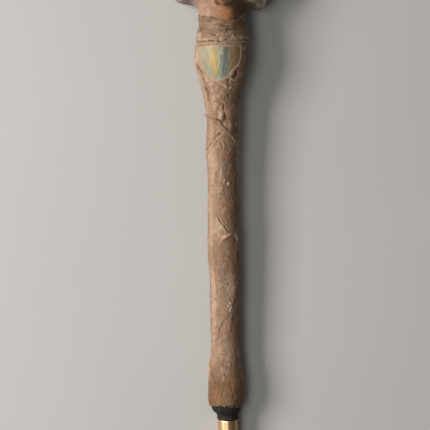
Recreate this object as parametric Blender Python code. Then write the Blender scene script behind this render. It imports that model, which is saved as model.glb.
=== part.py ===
"""A ceremonial sceptre lying on its back.

A staff wrapped in thin, wrinkled skin swells towards a lobed head, with a shell inlay in the front of the
swelling. The foot ends in a dark collar and a brass ferrule. The sceptre is modelled upright in its own
frame, with +Y towards the head, +Z to the front and y = 0 at the lower edge of the wrap, and is laid down
at the end on three small flats, two on the head's side lobes and one on the foot's flare. Metres.
"""

import math
from itertools import pairwise

import bmesh
import bpy
from mathutils import Vector

# Lengths along the sceptre
WRAP_LENGTH = 0.389
COLLAR_LENGTH = 0.012
FERRULE_LENGTH = 0.046
HEAD_HEIGHT = 0.105

# Radii of the wrapped shaft, from foot to neck
FOOT_RADIUS = 0.0178
GRIP_RADIUS = 0.0147
SWELL_RADIUS = 0.0260
NECK_RADIUS = 0.0231
FOOT_ROUNDING = 0.0100
FOOT_TUCK = 0.0024

# Radii and bevel of the pieces below the wrap
FERRULE_RADIUS = 0.0102
FERRULE_BEVEL = 0.0012
FERRULE_OFFSET = 0.0013
COLLAR_STEP = 0.0005
COLLAR_LIP = 0.0004

# The rim of the wrap: degrees round from the front, and share of the wrapped length. A second strand lies
# this far below it.
RIM = ((-180, 0.950), (-90, 0.945), (0, 0.936), (90, 0.948))
RIM_SPACING = 0.0026

# The shell inlay: how wide it is round the swelling, how tall, how thick, how far it stands proud, and how
# far its top is below the front of the rim
INLAY_WIDTH = 0.0520
INLAY_HEIGHT = 0.0350
INLAY_THICKNESS = 0.0014
INLAY_PROUD = 0.0002
INLAY_TURN = math.radians(-8)
INLAY_BELOW_RIM = 0.00486

# Pieces that meet keep this gap
JOINT_GAP = 0.0003

# How deep below the axis the floor lies, at the foot and at the head
FOOT_REST_DEPTH = 0.975 * FOOT_RADIUS
HEAD_REST_DEPTH = 0.30 * HEAD_HEIGHT
FOOT_REST_SHARE = 0.035

SHAFT_SIDES = 36
SHAFT_ROW_SHARE = 0.026
STRAND_SIDES = 5
HEAD_SIDES = 36
HEAD_ROWS = 22
ROUND_SIDES = 32

# Share of the wrapped length, and the shaft's radius there. An S-curve joins each pair.
SHAFT_PROFILE = (
    (0.000, FOOT_RADIUS),
    (0.046, FOOT_RADIUS),
    (0.162, GRIP_RADIUS),
    (0.285, 0.97 * GRIP_RADIUS),
    (0.386, 1.03 * GRIP_RADIUS),
    (0.527, 0.98 * GRIP_RADIUS),
    (0.617, 0.985 * GRIP_RADIUS),
    (0.700, 1.03 * GRIP_RADIUS),
    (0.753, 1.03 * GRIP_RADIUS),
    (0.906, SWELL_RADIUS),
    (0.930, SWELL_RADIUS),
    (0.942, 0.955 * SWELL_RADIUS),
    (0.964, 0.965 * SWELL_RADIUS),
    (0.978, NECK_RADIUS),
    (1.000, NECK_RADIUS),
)

# Share of the wrapped length, and how far the shaft's centre stands to the side there
SHAFT_SWAY = (
    (0.000, 0.0),
    (0.260, -0.0002),
    (0.520, -0.0017),
    (0.880, -0.0010),
    (1.000, 0.0),
)

# The unevenness of the wrapped shaft, as waves of (height, lobes round it, turns over its length, phase)
UNEVEN_WAVES = (
    (0.00028, 2, 2.3, 0.4),
    (0.00022, 3, -5.1, 1.9),
    (0.00020, 1, 7.7, 3.0),
)

# Raised folds and strands of the wrap: thickness, whether it closes on itself, and points of
# (degrees round from the front, share of the wrapped length)
STRANDS = {
    "rim_roll": (0.0017, True, RIM),
    "rim_strand": (0.0012, True, tuple((turn, share - RIM_SPACING / WRAP_LENGTH) for turn, share in RIM)),
    "side_strap": (
        0.0013,
        False,
        ((-92, 0.905), (-80, 0.884), (-70, 0.861), (-62, 0.833), (-60, 0.790), (-64, 0.758), (-75, 0.735)),
    ),
    "crossing_fold": (
        0.0012,
        False,
        ((-130, 0.760), (-85, 0.750), (-35, 0.741), (-8, 0.736), (12, 0.722), (45, 0.707), (85, 0.690)),
    ),
    "left_roll": (0.0014, False, ((20, 0.711), (-20, 0.690), (-50, 0.668), (-86, 0.648), (-140, 0.622))),
    "right_roll": (0.0013, False, ((14, 0.708), (38, 0.697), (62, 0.680), (90, 0.659), (140, 0.630))),
    "long_flap": (
        0.0011,
        False,
        ((-95, 0.538), (-66, 0.515), (-31, 0.496), (-10, 0.476), (12, 0.455), (38, 0.446)),
    ),
    "short_flap": (
        0.0010,
        False,
        ((-16, 0.425), (10, 0.436), (38, 0.446), (58, 0.432), (86, 0.412), (118, 0.385)),
    ),
    "grip_strand": (
        0.0010,
        False,
        ((84, 0.305), (66, 0.286), (42, 0.264), (26, 0.243), (8, 0.228), (-16, 0.206), (-26, 0.178)),
    ),
    "foot_lump": (0.0015, False, ((-84, 0.132), (-80, 0.112), (-78, 0.088), (-70, 0.070))),
    "back_fold": (0.0012, False, ((150, 0.560), (178, 0.520), (205, 0.470), (238, 0.430))),
    "back_strand": (0.0011, False, ((128, 0.325), (160, 0.290), (196, 0.268), (232, 0.232))),
}

# The head's lobes: name, centre and half sizes as shares of the head's height (right, up from the head's
# middle, forward), and squareness, where 2 is an ellipsoid
HEAD_MIDDLE = 0.410
HEAD_LOBES = (
    ("body", (0.000, 0.020, -0.010), (0.325, 0.345, 0.265), 2.0),
    ("left", (-0.297, -0.016, -0.090), (0.200, 0.241, 0.222), 3.0),
    ("right", (0.322, -0.086, -0.075), (0.196, 0.238, 0.225), 2.0),
    ("crown", (0.010, 0.350, -0.020), (0.225, 0.240, 0.205), 2.2),
    ("front", (0.030, -0.075, 0.245), (0.118, 0.210, 0.105), 2.3),
)
HEAD_BLEND = 0.080


def clear_scene():
    for item in list(bpy.data.objects):
        bpy.data.objects.remove(item, do_unlink=True)


def material(name, colour, roughness, metallic=0.0):
    made = bpy.data.materials.new(name)
    made.use_nodes = True
    shader = made.node_tree.nodes["Principled BSDF"]
    shader.inputs["Base Color"].default_value = (*colour, 1.0)
    shader.inputs["Roughness"].default_value = roughness
    shader.inputs["Metallic"].default_value = metallic
    return made


def add_object(name, mesh_builder, finish):
    """A mesh object from a filled bmesh, shaded smooth where it is round."""
    bmesh.ops.recalc_face_normals(mesh_builder, faces=mesh_builder.faces)
    mesh = bpy.data.meshes.new(name)
    mesh_builder.to_mesh(mesh)
    mesh_builder.free()
    mesh.shade_smooth()
    mesh.set_sharp_from_angle(angle=math.radians(50))
    mesh.materials.append(finish)
    made = bpy.data.objects.new(name, mesh)
    bpy.context.scene.collection.objects.link(made)
    return made


def add_cutter(name, mesh_builder, finish):
    made = add_object(name, mesh_builder, finish)
    made.hide_render = True
    made.display_type = "WIRE"
    return made


def boolean(target, other, operation):
    modifier = target.modifiers.new(other.name, "BOOLEAN")
    modifier.operation = operation
    modifier.solver = "EXACT"
    modifier.object = other


def s_curve(stations, at):
    """The value at a place on a list of (place, value), with an S-curve between neighbours."""
    for (low, first), (high, second) in pairwise(stations):
        if at <= high:
            part = max(0.0, (at - low) / (high - low))
            return first + (second - first) * part * part * (3 - 2 * part)
    return stations[-1][1]


def through(points, count, closed=False):
    """Catmull-Rom points through a short list of (angle, share)."""
    last = len(points) if closed else len(points) - 1
    turn = 360.0 if closed else 0.0

    def control(index):
        if closed:
            lap, place = divmod(index, len(points))
            return points[place][0] + lap * turn, points[place][1]
        return points[min(max(index, 0), len(points) - 1)]

    found = []
    for step in range(count if closed else count + 1):
        index, part = divmod(step * last / count, 1)
        around = [control(int(index) + k) for k in (-1, 0, 1, 2)]
        found.append(
            tuple(
                0.5
                * (
                    2 * b
                    + (c - a) * part
                    + (2 * a - 5 * b + 4 * c - d) * part**2
                    + (3 * b - a - 3 * c + d) * part**3
                )
                for a, b, c, d in zip(*around)
            )
        )
    return found


def floor_line():
    """Depth below the axis at y = 0, and its slope, of the floor that the lying sceptre rests on."""
    foot = FOOT_REST_SHARE * WRAP_LENGTH
    head = WRAP_LENGTH + HEAD_MIDDLE * HEAD_HEIGHT
    slope = (HEAD_REST_DEPTH - FOOT_REST_DEPTH) / (head - foot)
    return FOOT_REST_DEPTH - slope * foot, slope


def reach_to_floor(start, direction, reach):
    """The reach along a ray, cut short where the ray would pass the floor."""
    depth, slope = floor_line()
    height = start.z + depth + slope * start.y
    fall = -(direction.z + slope * direction.y)
    return min(reach, height / fall) if fall > 0 else reach


def above_floor(point):
    depth, slope = floor_line()
    return Vector((point.x, point.y, max(point.z, -depth - slope * point.y)))


def shaft_centre(share):
    return Vector((s_curve(SHAFT_SWAY, share), share * WRAP_LENGTH, 0.0))


def shaft_radius(angle, share):
    """The wrap's radius, with its unevenness and the turned-in edge at the foot."""
    radius = s_curve(SHAFT_PROFILE, share)
    for height, lobes, turns, phase in UNEVEN_WAVES:
        radius += height * math.sin(lobes * angle + math.tau * turns * share + phase)
    into = 1 - min(share * WRAP_LENGTH / FOOT_ROUNDING, 1.0)
    return radius - FOOT_TUCK * (1 - math.sqrt(1 - into * into))


def on_shaft(angle, share, lift=0.0):
    """A point on the wrapped shaft, lifted off its surface."""
    centre = shaft_centre(share)
    direction = Vector((math.sin(angle), 0.0, math.cos(angle)))
    return centre + direction * reach_to_floor(centre, direction, shaft_radius(angle, share) + lift)


def ring_angles(count):
    return [math.tau * k / count for k in range(count)]


def skin_rings(rings, closed=False):
    """A bmesh through rings of points: a tube with flat ends, or one that closes on itself."""
    made = bmesh.new()
    loops = [[made.verts.new(point) for point in ring] for ring in rings]
    joined = list(pairwise(loops)) + ([(loops[-1], loops[0])] if closed else [])
    for low, high in joined:
        for k in range(len(low)):
            after = (k + 1) % len(low)
            made.faces.new((low[k], low[after], high[after], high[k]))
    if not closed:
        made.faces.new(loops[0])
        made.faces.new(loops[-1])
    return made


def strand(name, finish):
    """A raised fold: a thin tube half sunk in the wrap, which thins out at its two ends."""
    thickness, closed, points = STRANDS[name]
    count = 28 if closed else 3 * len(points)
    path = through(points, count, closed)
    rings = []
    for index, (degrees, share) in enumerate(path):
        before = path[index - 1] if index or closed else path[index]
        after = path[(index + 1) % len(path)] if closed else path[min(index + 1, len(path) - 1)]
        angle = math.radians(degrees)
        centre = on_shaft(angle, share, -0.25 * thickness)
        tangent = on_shaft(math.radians(after[0]), after[1]) - on_shaft(math.radians(before[0]), before[1])
        outward = Vector((math.sin(angle), 0.0, math.cos(angle)))
        side = tangent.cross(outward).normalized()
        outward = side.cross(tangent).normalized()
        ends = 1.0 if closed else math.sin(math.pi * (index + 0.5) / len(path)) ** 0.5
        radius = thickness * max(ends, 0.35)
        centre -= outward * (1 - ends) * thickness
        rings.append(
            [
                above_floor(centre + (side * 1.25 * math.sin(turn) + outward * math.cos(turn)) * radius)
                for turn in ring_angles(STRAND_SIDES)
            ]
        )
    return add_cutter("fold_" + name, skin_rings(rings, closed), finish)


def inlay_half_angle(down):
    """Half the inlay's width as an angle, from its flat top (0) down to its tip (1)."""
    return INLAY_WIDTH / 2 / SWELL_RADIUS * max(0.0, 1 - down**2.27) ** 0.6


def inlay_plate(grow, inner, outer):
    """A curved shield that follows the swelling, between two depths, grown at its edge."""
    top = dict(RIM)[0] * WRAP_LENGTH - INLAY_BELOW_RIM + grow
    height = INLAY_HEIGHT + 2 * grow
    rows, columns, tip = 9, 10, 0.985
    sheets = []
    for lift in (inner, outer):
        sheet = []
        for row in range(rows + 1):
            down = tip * math.sin(math.pi / 2 * row / rows)
            share = (top - height * down) / WRAP_LENGTH
            half = inlay_half_angle(down) + grow / SWELL_RADIUS
            sheet.append(
                [
                    on_shaft(INLAY_TURN + half * (2 * column / columns - 1), share, lift)
                    for column in range(columns + 1)
                ]
            )
        sheets.append(sheet)
    made = bmesh.new()
    low, high = ([[made.verts.new(point) for point in row] for row in sheet] for sheet in sheets)
    for sheet in (low, high):
        for first, second in pairwise(sheet):
            for k in range(columns):
                made.faces.new((first[k], first[k + 1], second[k + 1], second[k]))
    left = [row[0] for row in low], [row[0] for row in high]
    right = [row[-1] for row in low], [row[-1] for row in high]
    rims = [left, right, (low[0], high[0]), (low[-1], high[-1])]
    for inner_edge, outer_edge in rims:
        for k in range(len(inner_edge) - 1):
            made.faces.new((inner_edge[k], inner_edge[k + 1], outer_edge[k + 1], outer_edge[k]))
    return made


def wrapped_shaft():
    skin = material("wrinkled_skin", (0.42, 0.27, 0.17), 0.85)
    shares = [FOOT_ROUNDING / WRAP_LENGTH * part for part in (0.12, 0.35, 0.65)] + [1.0]
    for (low, _), (high, _) in pairwise(SHAFT_PROFILE):
        count = max(2, round((high - low) / SHAFT_ROW_SHARE))
        shares += [low + (high - low) * k / count for k in range(count)]
    shares = sorted(set(shares))
    rings = [[on_shaft(angle, share) for angle in ring_angles(SHAFT_SIDES)] for share in shares]
    shaft = add_object("wrapped_shaft", skin_rings(rings), skin)
    for name in STRANDS:
        boolean(shaft, strand(name, skin), "UNION")
    pocket = inlay_plate(JOINT_GAP, -INLAY_THICKNESS - JOINT_GAP, 3 * INLAY_THICKNESS)
    boolean(shaft, add_cutter("inlay_pocket", pocket, skin), "DIFFERENCE")
    return shaft


def shell_inlay():
    shell = material("iridescent_shell", (0.45, 0.50, 0.36), 0.3)
    return add_object("shell_inlay", inlay_plate(0.0, -INLAY_THICKNESS, INLAY_PROUD), shell)


def butt_collar():
    """The dark piece under the wrap, which draws in to the ferrule and ends in a low lip."""
    dark = material("dark_pitch", (0.018, 0.014, 0.012), 0.6)
    under_wrap = FOOT_RADIUS - FOOT_TUCK - COLLAR_STEP
    waist = FERRULE_RADIUS + COLLAR_LIP / 4
    profile = (
        (0.00, under_wrap),
        (0.70, waist),
        (0.80, waist),
        (0.90, FERRULE_RADIUS + COLLAR_LIP),
        (1.00, FERRULE_RADIUS + COLLAR_LIP / 2),
    )
    rows = (0.0, 0.18, 0.35, 0.52, 0.70, 0.80, 0.90, 1.0)
    rings = []
    for share in reversed(rows):
        radius = s_curve(profile, share)
        centre = Vector((FERRULE_OFFSET * share, -JOINT_GAP - (COLLAR_LENGTH - JOINT_GAP) * share, 0.0))
        rings.append(
            [centre + Vector((math.sin(a), 0.0, math.cos(a))) * radius for a in ring_angles(ROUND_SIDES)]
        )
    return add_object("butt_collar", skin_rings(rings), dark)


def brass_ferrule():
    """The brass rod end, with a bevelled flat tip. Its origin is on its axis, at its upper face."""
    brass = material("brass", (0.75, 0.50, 0.25), 0.25, 1.0)
    circle = [Vector((math.sin(a), 0.0, math.cos(a))) * FERRULE_RADIUS for a in ring_angles(ROUND_SIDES)]
    rings = [[point + Vector((0.0, y, 0.0)) for point in circle] for y in (-FERRULE_LENGTH, 0.0)]
    ferrule = add_object("brass_ferrule", skin_rings(rings), brass)
    ferrule.location = (FERRULE_OFFSET, -COLLAR_LENGTH - JOINT_GAP, 0.0)
    bevel = ferrule.modifiers.new("tip_bevel", "BEVEL")
    bevel.width = FERRULE_BEVEL
    bevel.segments = 2
    bevel.limit_method = "ANGLE"
    bevel.angle_limit = math.radians(60)
    return ferrule


def lobe_gap(place, centre, half, squareness):
    """About how far a place is outside one lobe; negative inside it."""
    parts = [abs((p - c) / h) for p, c, h in zip(place, centre, half)]
    return (sum(part**squareness for part in parts) ** (1 / squareness) - 1) * min(half)


def head_gap(point):
    """About how far a point is outside the head, in shares of its height."""
    place = Vector((point.x, point.y - head_middle().y, point.z)) / HEAD_HEIGHT
    gap = math.hypot(place.x, place.z) - NECK_RADIUS / HEAD_HEIGHT + max(0.0, place.y)
    for _, centre, half, squareness in HEAD_LOBES:
        other = lobe_gap(place, centre, half, squareness)
        blend = max(HEAD_BLEND - abs(gap - other), 0.0) / HEAD_BLEND
        gap = min(gap, other) - blend * blend * HEAD_BLEND / 4
    return gap


def head_middle():
    return Vector((0.0, WRAP_LENGTH + HEAD_MIDDLE * HEAD_HEIGHT, 0.0))


def reach_head(start, direction):
    """How far the head's surface is from a start inside it."""
    near, far = 0.0, HEAD_HEIGHT
    for _ in range(26):
        middle = (near + far) / 2
        inside = head_gap(start + direction * middle) < 0
        near, far = (middle, far) if inside else (near, middle)
    return reach_to_floor(start, direction, near)


def head():
    """The lobed head with its neck, found by rays from the head's middle, and cut flat at the wrap."""
    wood = material("weathered_wood", (0.36, 0.26, 0.19), 0.8)
    middle = head_middle()
    base = Vector((0.0, WRAP_LENGTH + JOINT_GAP, 0.0))
    columns = []
    for angle in ring_angles(HEAD_SIDES):
        outward = Vector((math.sin(angle), 0.0, math.cos(angle)))
        foot = base + outward * reach_head(base, outward)
        lowest = (foot - middle).angle(Vector((0.0, -1.0, 0.0)))
        column = [foot]
        for row in range(1, HEAD_ROWS):
            polar = lowest + (math.pi - lowest) * row / HEAD_ROWS
            direction = outward * math.sin(polar) - Vector((0.0, math.cos(polar), 0.0))
            column.append(middle + direction * reach_head(middle, direction))
        columns.append(column)
    made = skin_rings([list(ring) for ring in zip(*columns)])
    flat_ends = [face for face in made.faces if len(face.verts) == HEAD_SIDES]
    crown = max(flat_ends, key=lambda face: face.calc_center_median().y)
    top = middle + Vector((0.0, reach_head(middle, Vector((0.0, 1.0, 0.0))), 0.0))
    bmesh.ops.poke(made, faces=[crown])["verts"][0].co = top
    return add_object("head", made, wood)


def lay_down(pieces):
    """Tips the sceptre onto its flats and puts the origin under the middle of its box."""
    depth, slope = floor_line()
    lying = bpy.data.objects.new("lying", None)
    bpy.context.scene.collection.objects.link(lying)
    lying.rotation_euler.x = math.atan(slope)
    for piece in pieces:
        piece.parent = lying
    bpy.context.view_layer.update()
    places = [piece.matrix_world @ vertex.co for piece in pieces for vertex in piece.data.vertices]
    middle = [(min(p[k] for p in places) + max(p[k] for p in places)) / 2 for k in (0, 1)]
    lying.location = (-middle[0], -middle[1], depth * math.cos(lying.rotation_euler.x))


def main():
    clear_scene()
    pieces = [wrapped_shaft(), shell_inlay(), butt_collar(), brass_ferrule(), head()]
    cutters = [item for item in bpy.context.scene.objects if item.hide_render]
    lay_down(pieces + cutters)


main()
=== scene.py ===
"""The looks of a ceremonial sceptre that lies on its back on a pale floor.

Each piece is modelled in the sceptre's own frame, in millimetres: +Y along it towards the head with 0 at the
lower edge of the wrap, +Z out of its front, and angles round it from the front, to the right. placed() then
lays it down where the solids lie. The photo's frame is 430 mm square at the sceptre's depth, so a place on
the front is given as millimetres from that frame's left and top edges.
"""

import itertools
import math

import bpy
import numpy as np
from mathutils import Matrix, Vector

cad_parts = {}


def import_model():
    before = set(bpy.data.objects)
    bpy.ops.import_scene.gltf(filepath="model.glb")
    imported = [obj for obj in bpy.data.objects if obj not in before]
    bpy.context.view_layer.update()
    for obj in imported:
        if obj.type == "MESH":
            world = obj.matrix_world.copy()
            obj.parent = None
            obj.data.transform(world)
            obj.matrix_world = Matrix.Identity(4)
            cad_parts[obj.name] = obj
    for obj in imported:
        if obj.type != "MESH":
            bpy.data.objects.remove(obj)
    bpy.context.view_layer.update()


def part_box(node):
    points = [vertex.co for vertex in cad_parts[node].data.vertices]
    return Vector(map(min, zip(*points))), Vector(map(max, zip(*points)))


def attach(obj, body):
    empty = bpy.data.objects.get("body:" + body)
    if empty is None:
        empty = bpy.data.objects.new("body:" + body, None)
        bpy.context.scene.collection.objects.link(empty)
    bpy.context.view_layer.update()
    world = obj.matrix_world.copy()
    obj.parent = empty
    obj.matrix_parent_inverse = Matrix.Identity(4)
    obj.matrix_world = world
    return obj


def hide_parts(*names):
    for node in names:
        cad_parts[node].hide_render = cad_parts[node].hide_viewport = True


MM = 0.001

# The solids' own sizes
WRAP_LENGTH = 389.0
COLLAR_LENGTH = 12.0
FERRULE_LENGTH = 46.0
HEAD_HEIGHT = 105.0
FOOT_RADIUS = 17.8
GRIP_RADIUS = 14.7
SWELL_RADIUS = 26.0
NECK_RADIUS = 23.1
FOOT_ROUNDING = 10.0
FOOT_TUCK = 2.4
FERRULE_RADIUS = 10.2
FERRULE_BEVEL = 1.2
FERRULE_OFFSET = 1.3
COLLAR_STEP = 0.5
COLLAR_LIP = 0.4
JOINT_GAP = 0.3
INLAY_WIDTH = 52.0
INLAY_HEIGHT = 35.0
INLAY_THICKNESS = 1.4
INLAY_TURN = math.radians(-8)
INLAY_TOP = 0.9235 * WRAP_LENGTH
FOOT_REST_DEPTH = 0.975 * FOOT_RADIUS
HEAD_REST_DEPTH = 0.30 * HEAD_HEIGHT
FOOT_REST = 0.035 * WRAP_LENGTH
HEAD_MIDDLE = WRAP_LENGTH + 0.41 * HEAD_HEIGHT
FLOOR_SLOPE = (HEAD_REST_DEPTH - FOOT_REST_DEPTH) / (HEAD_MIDDLE - FOOT_REST)
TILT = math.atan(FLOOR_SLOPE)

# The photo's frame, where the sceptre's axis passes in it, and the camera that sees it so
FRAME_SIDE = 430.0
AXIS_AT_FOOT = (226.5, 408.0)
AXIS_AT_NECK = (222.0, 408.0 - WRAP_LENGTH)
LEAN = math.atan2(AXIS_AT_FOOT[0] - AXIS_AT_NECK[0], WRAP_LENGTH)
CENTRE_ALONG = AXIS_AT_FOOT[1] - FRAME_SIDE / 2
CENTRE_ACROSS = FRAME_SIDE / 2 - AXIS_AT_FOOT[0] + CENTRE_ALONG * math.tan(LEAN)
CAMERA_LENS = 85.0
CAMERA_SENSOR = 36.0
CAMERA_AWAY = FRAME_SIDE * CAMERA_LENS / CAMERA_SENSOR

# The floor's side, in metres
FLOOR_SIDE = 18.0

# How finely each piece is modelled, and how much closer the wrap's columns stand on its front
SKIN_AROUND = 190
SKIN_ALONG = 505
FRONT_CROWDING = 0.25
HEAD_AROUND = 260
HEAD_ALONG = 190
ROUND_SIDES = 128
SHELL_GRID = (72, 84)

# The share of the inlay's height at which its blunt tip ends
SHELL_TIP = 0.992

# Share of the wrapped length, and the shaft's radius there
SHAFT_PROFILE = (
    (0.000, FOOT_RADIUS),
    (0.046, FOOT_RADIUS),
    (0.162, GRIP_RADIUS),
    (0.285, 0.97 * GRIP_RADIUS),
    (0.386, 1.03 * GRIP_RADIUS),
    (0.527, 0.98 * GRIP_RADIUS),
    (0.617, 0.985 * GRIP_RADIUS),
    (0.700, 1.03 * GRIP_RADIUS),
    (0.753, 1.03 * GRIP_RADIUS),
    (0.906, SWELL_RADIUS),
    (0.930, SWELL_RADIUS),
    (0.942, 0.955 * SWELL_RADIUS),
    (0.964, 0.965 * SWELL_RADIUS),
    (0.978, NECK_RADIUS),
    (1.000, NECK_RADIUS),
)

# Share of the wrapped length, and how far the shaft's centre stands to the side there
SHAFT_SWAY = ((0.000, 0.0), (0.260, -0.2), (0.520, -1.7), (0.880, -1.0), (1.000, 0.0))

# The shaft's slow unevenness: height, waves round it, turns along it, and phase
UNEVEN_WAVES = ((0.28, 2, 2.3, 0.4), (0.22, 3, -5.1, 1.9), (0.20, 1, 7.7, 3.0))

# The wrap's torn edges: degrees round, and millimetres along
TOP_EDGE = (
    (-180, 391.0), (-125, 392.5), (-90, 392.0), (-62, 390.0), (-44, 388.2), (-30, 386.4), (-12, 384.2),
    (8, 382.6), (28, 382.8), (40, 384.6), (56, 389.6), (75, 391.5), (130, 389.5), (180, 391.0),
)
FOOT_EDGE = (
    (-180, 1.3), (-110, 2.0), (-84, 1.4), (-60, 2.8), (-42, 3.8), (-20, 4.6), (4, 4.9), (30, 4.2), (58, 3.0),
    (84, 1.6), (140, 2.2), (180, 1.3),
)

# How far along each torn edge shifts the rows of the wrap
TOP_FADE = 18
FOOT_FADE = 14

# The large folds, which the solid has too: thickness, whether it closes on itself, step on its left, groove
# on its right, and points of (degrees round, share of the wrapped length)
STRANDS = {
    "rim_roll": (1.5, True, 0.0, 0.7, ((-180, 0.950), (-90, 0.945), (0, 0.936), (90, 0.948))),
    "rim_strand": (1.0, True, 0.0, 0.5, ((-180, 0.934), (-90, 0.931), (0, 0.928), (90, 0.938))),
    "side_strap": (
        1.4, False, 0.5, 0.5,
        ((-92, 0.905), (-80, 0.884), (-70, 0.861), (-62, 0.833), (-60, 0.790), (-64, 0.758), (-75, 0.735)),
    ),
    "crossing_fold": (
        0.75, False, 0.8, 0.9,
        ((-130, 0.763), (-85, 0.753), (-35, 0.745), (-8, 0.7395), (8, 0.727), (24, 0.716)),
    ),
    "left_roll": (
        1.2, False, 0.0, 0.8,
        ((20, 0.711), (-20, 0.690), (-50, 0.668), (-86, 0.648), (-140, 0.622)),
    ),
    "right_roll": (
        1.1, False, 0.0, 0.7,
        ((14, 0.708), (38, 0.697), (62, 0.680), (90, 0.659), (140, 0.630)),
    ),
    "long_flap": (
        1.0, False, 0.15, 0.5,
        ((38, 0.446), (12, 0.455), (-10, 0.476), (-31, 0.496), (-66, 0.515), (-95, 0.538)),
    ),
    "short_flap": (
        1.0, False, 0.3, 0.6,
        ((-16, 0.425), (10, 0.436), (38, 0.446), (58, 0.432), (86, 0.412), (118, 0.385)),
    ),
    "grip_strand": (
        0.3, False, 0.2, 0.45,
        ((84, 0.305), (66, 0.286), (42, 0.264), (26, 0.243), (8, 0.228), (-16, 0.206), (-26, 0.178)),
    ),
    "foot_lump": (1.5, False, 0.0, 0.7, ((-84, 0.132), (-80, 0.112), (-78, 0.088), (-70, 0.070))),
    "back_fold": (1.2, False, 0.5, 0.6, ((150, 0.560), (178, 0.520), (205, 0.470), (238, 0.430))),
    "back_strand": (1.1, False, 0.4, 0.5, ((128, 0.325), (160, 0.290), (196, 0.268), (232, 0.232))),
}

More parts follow.
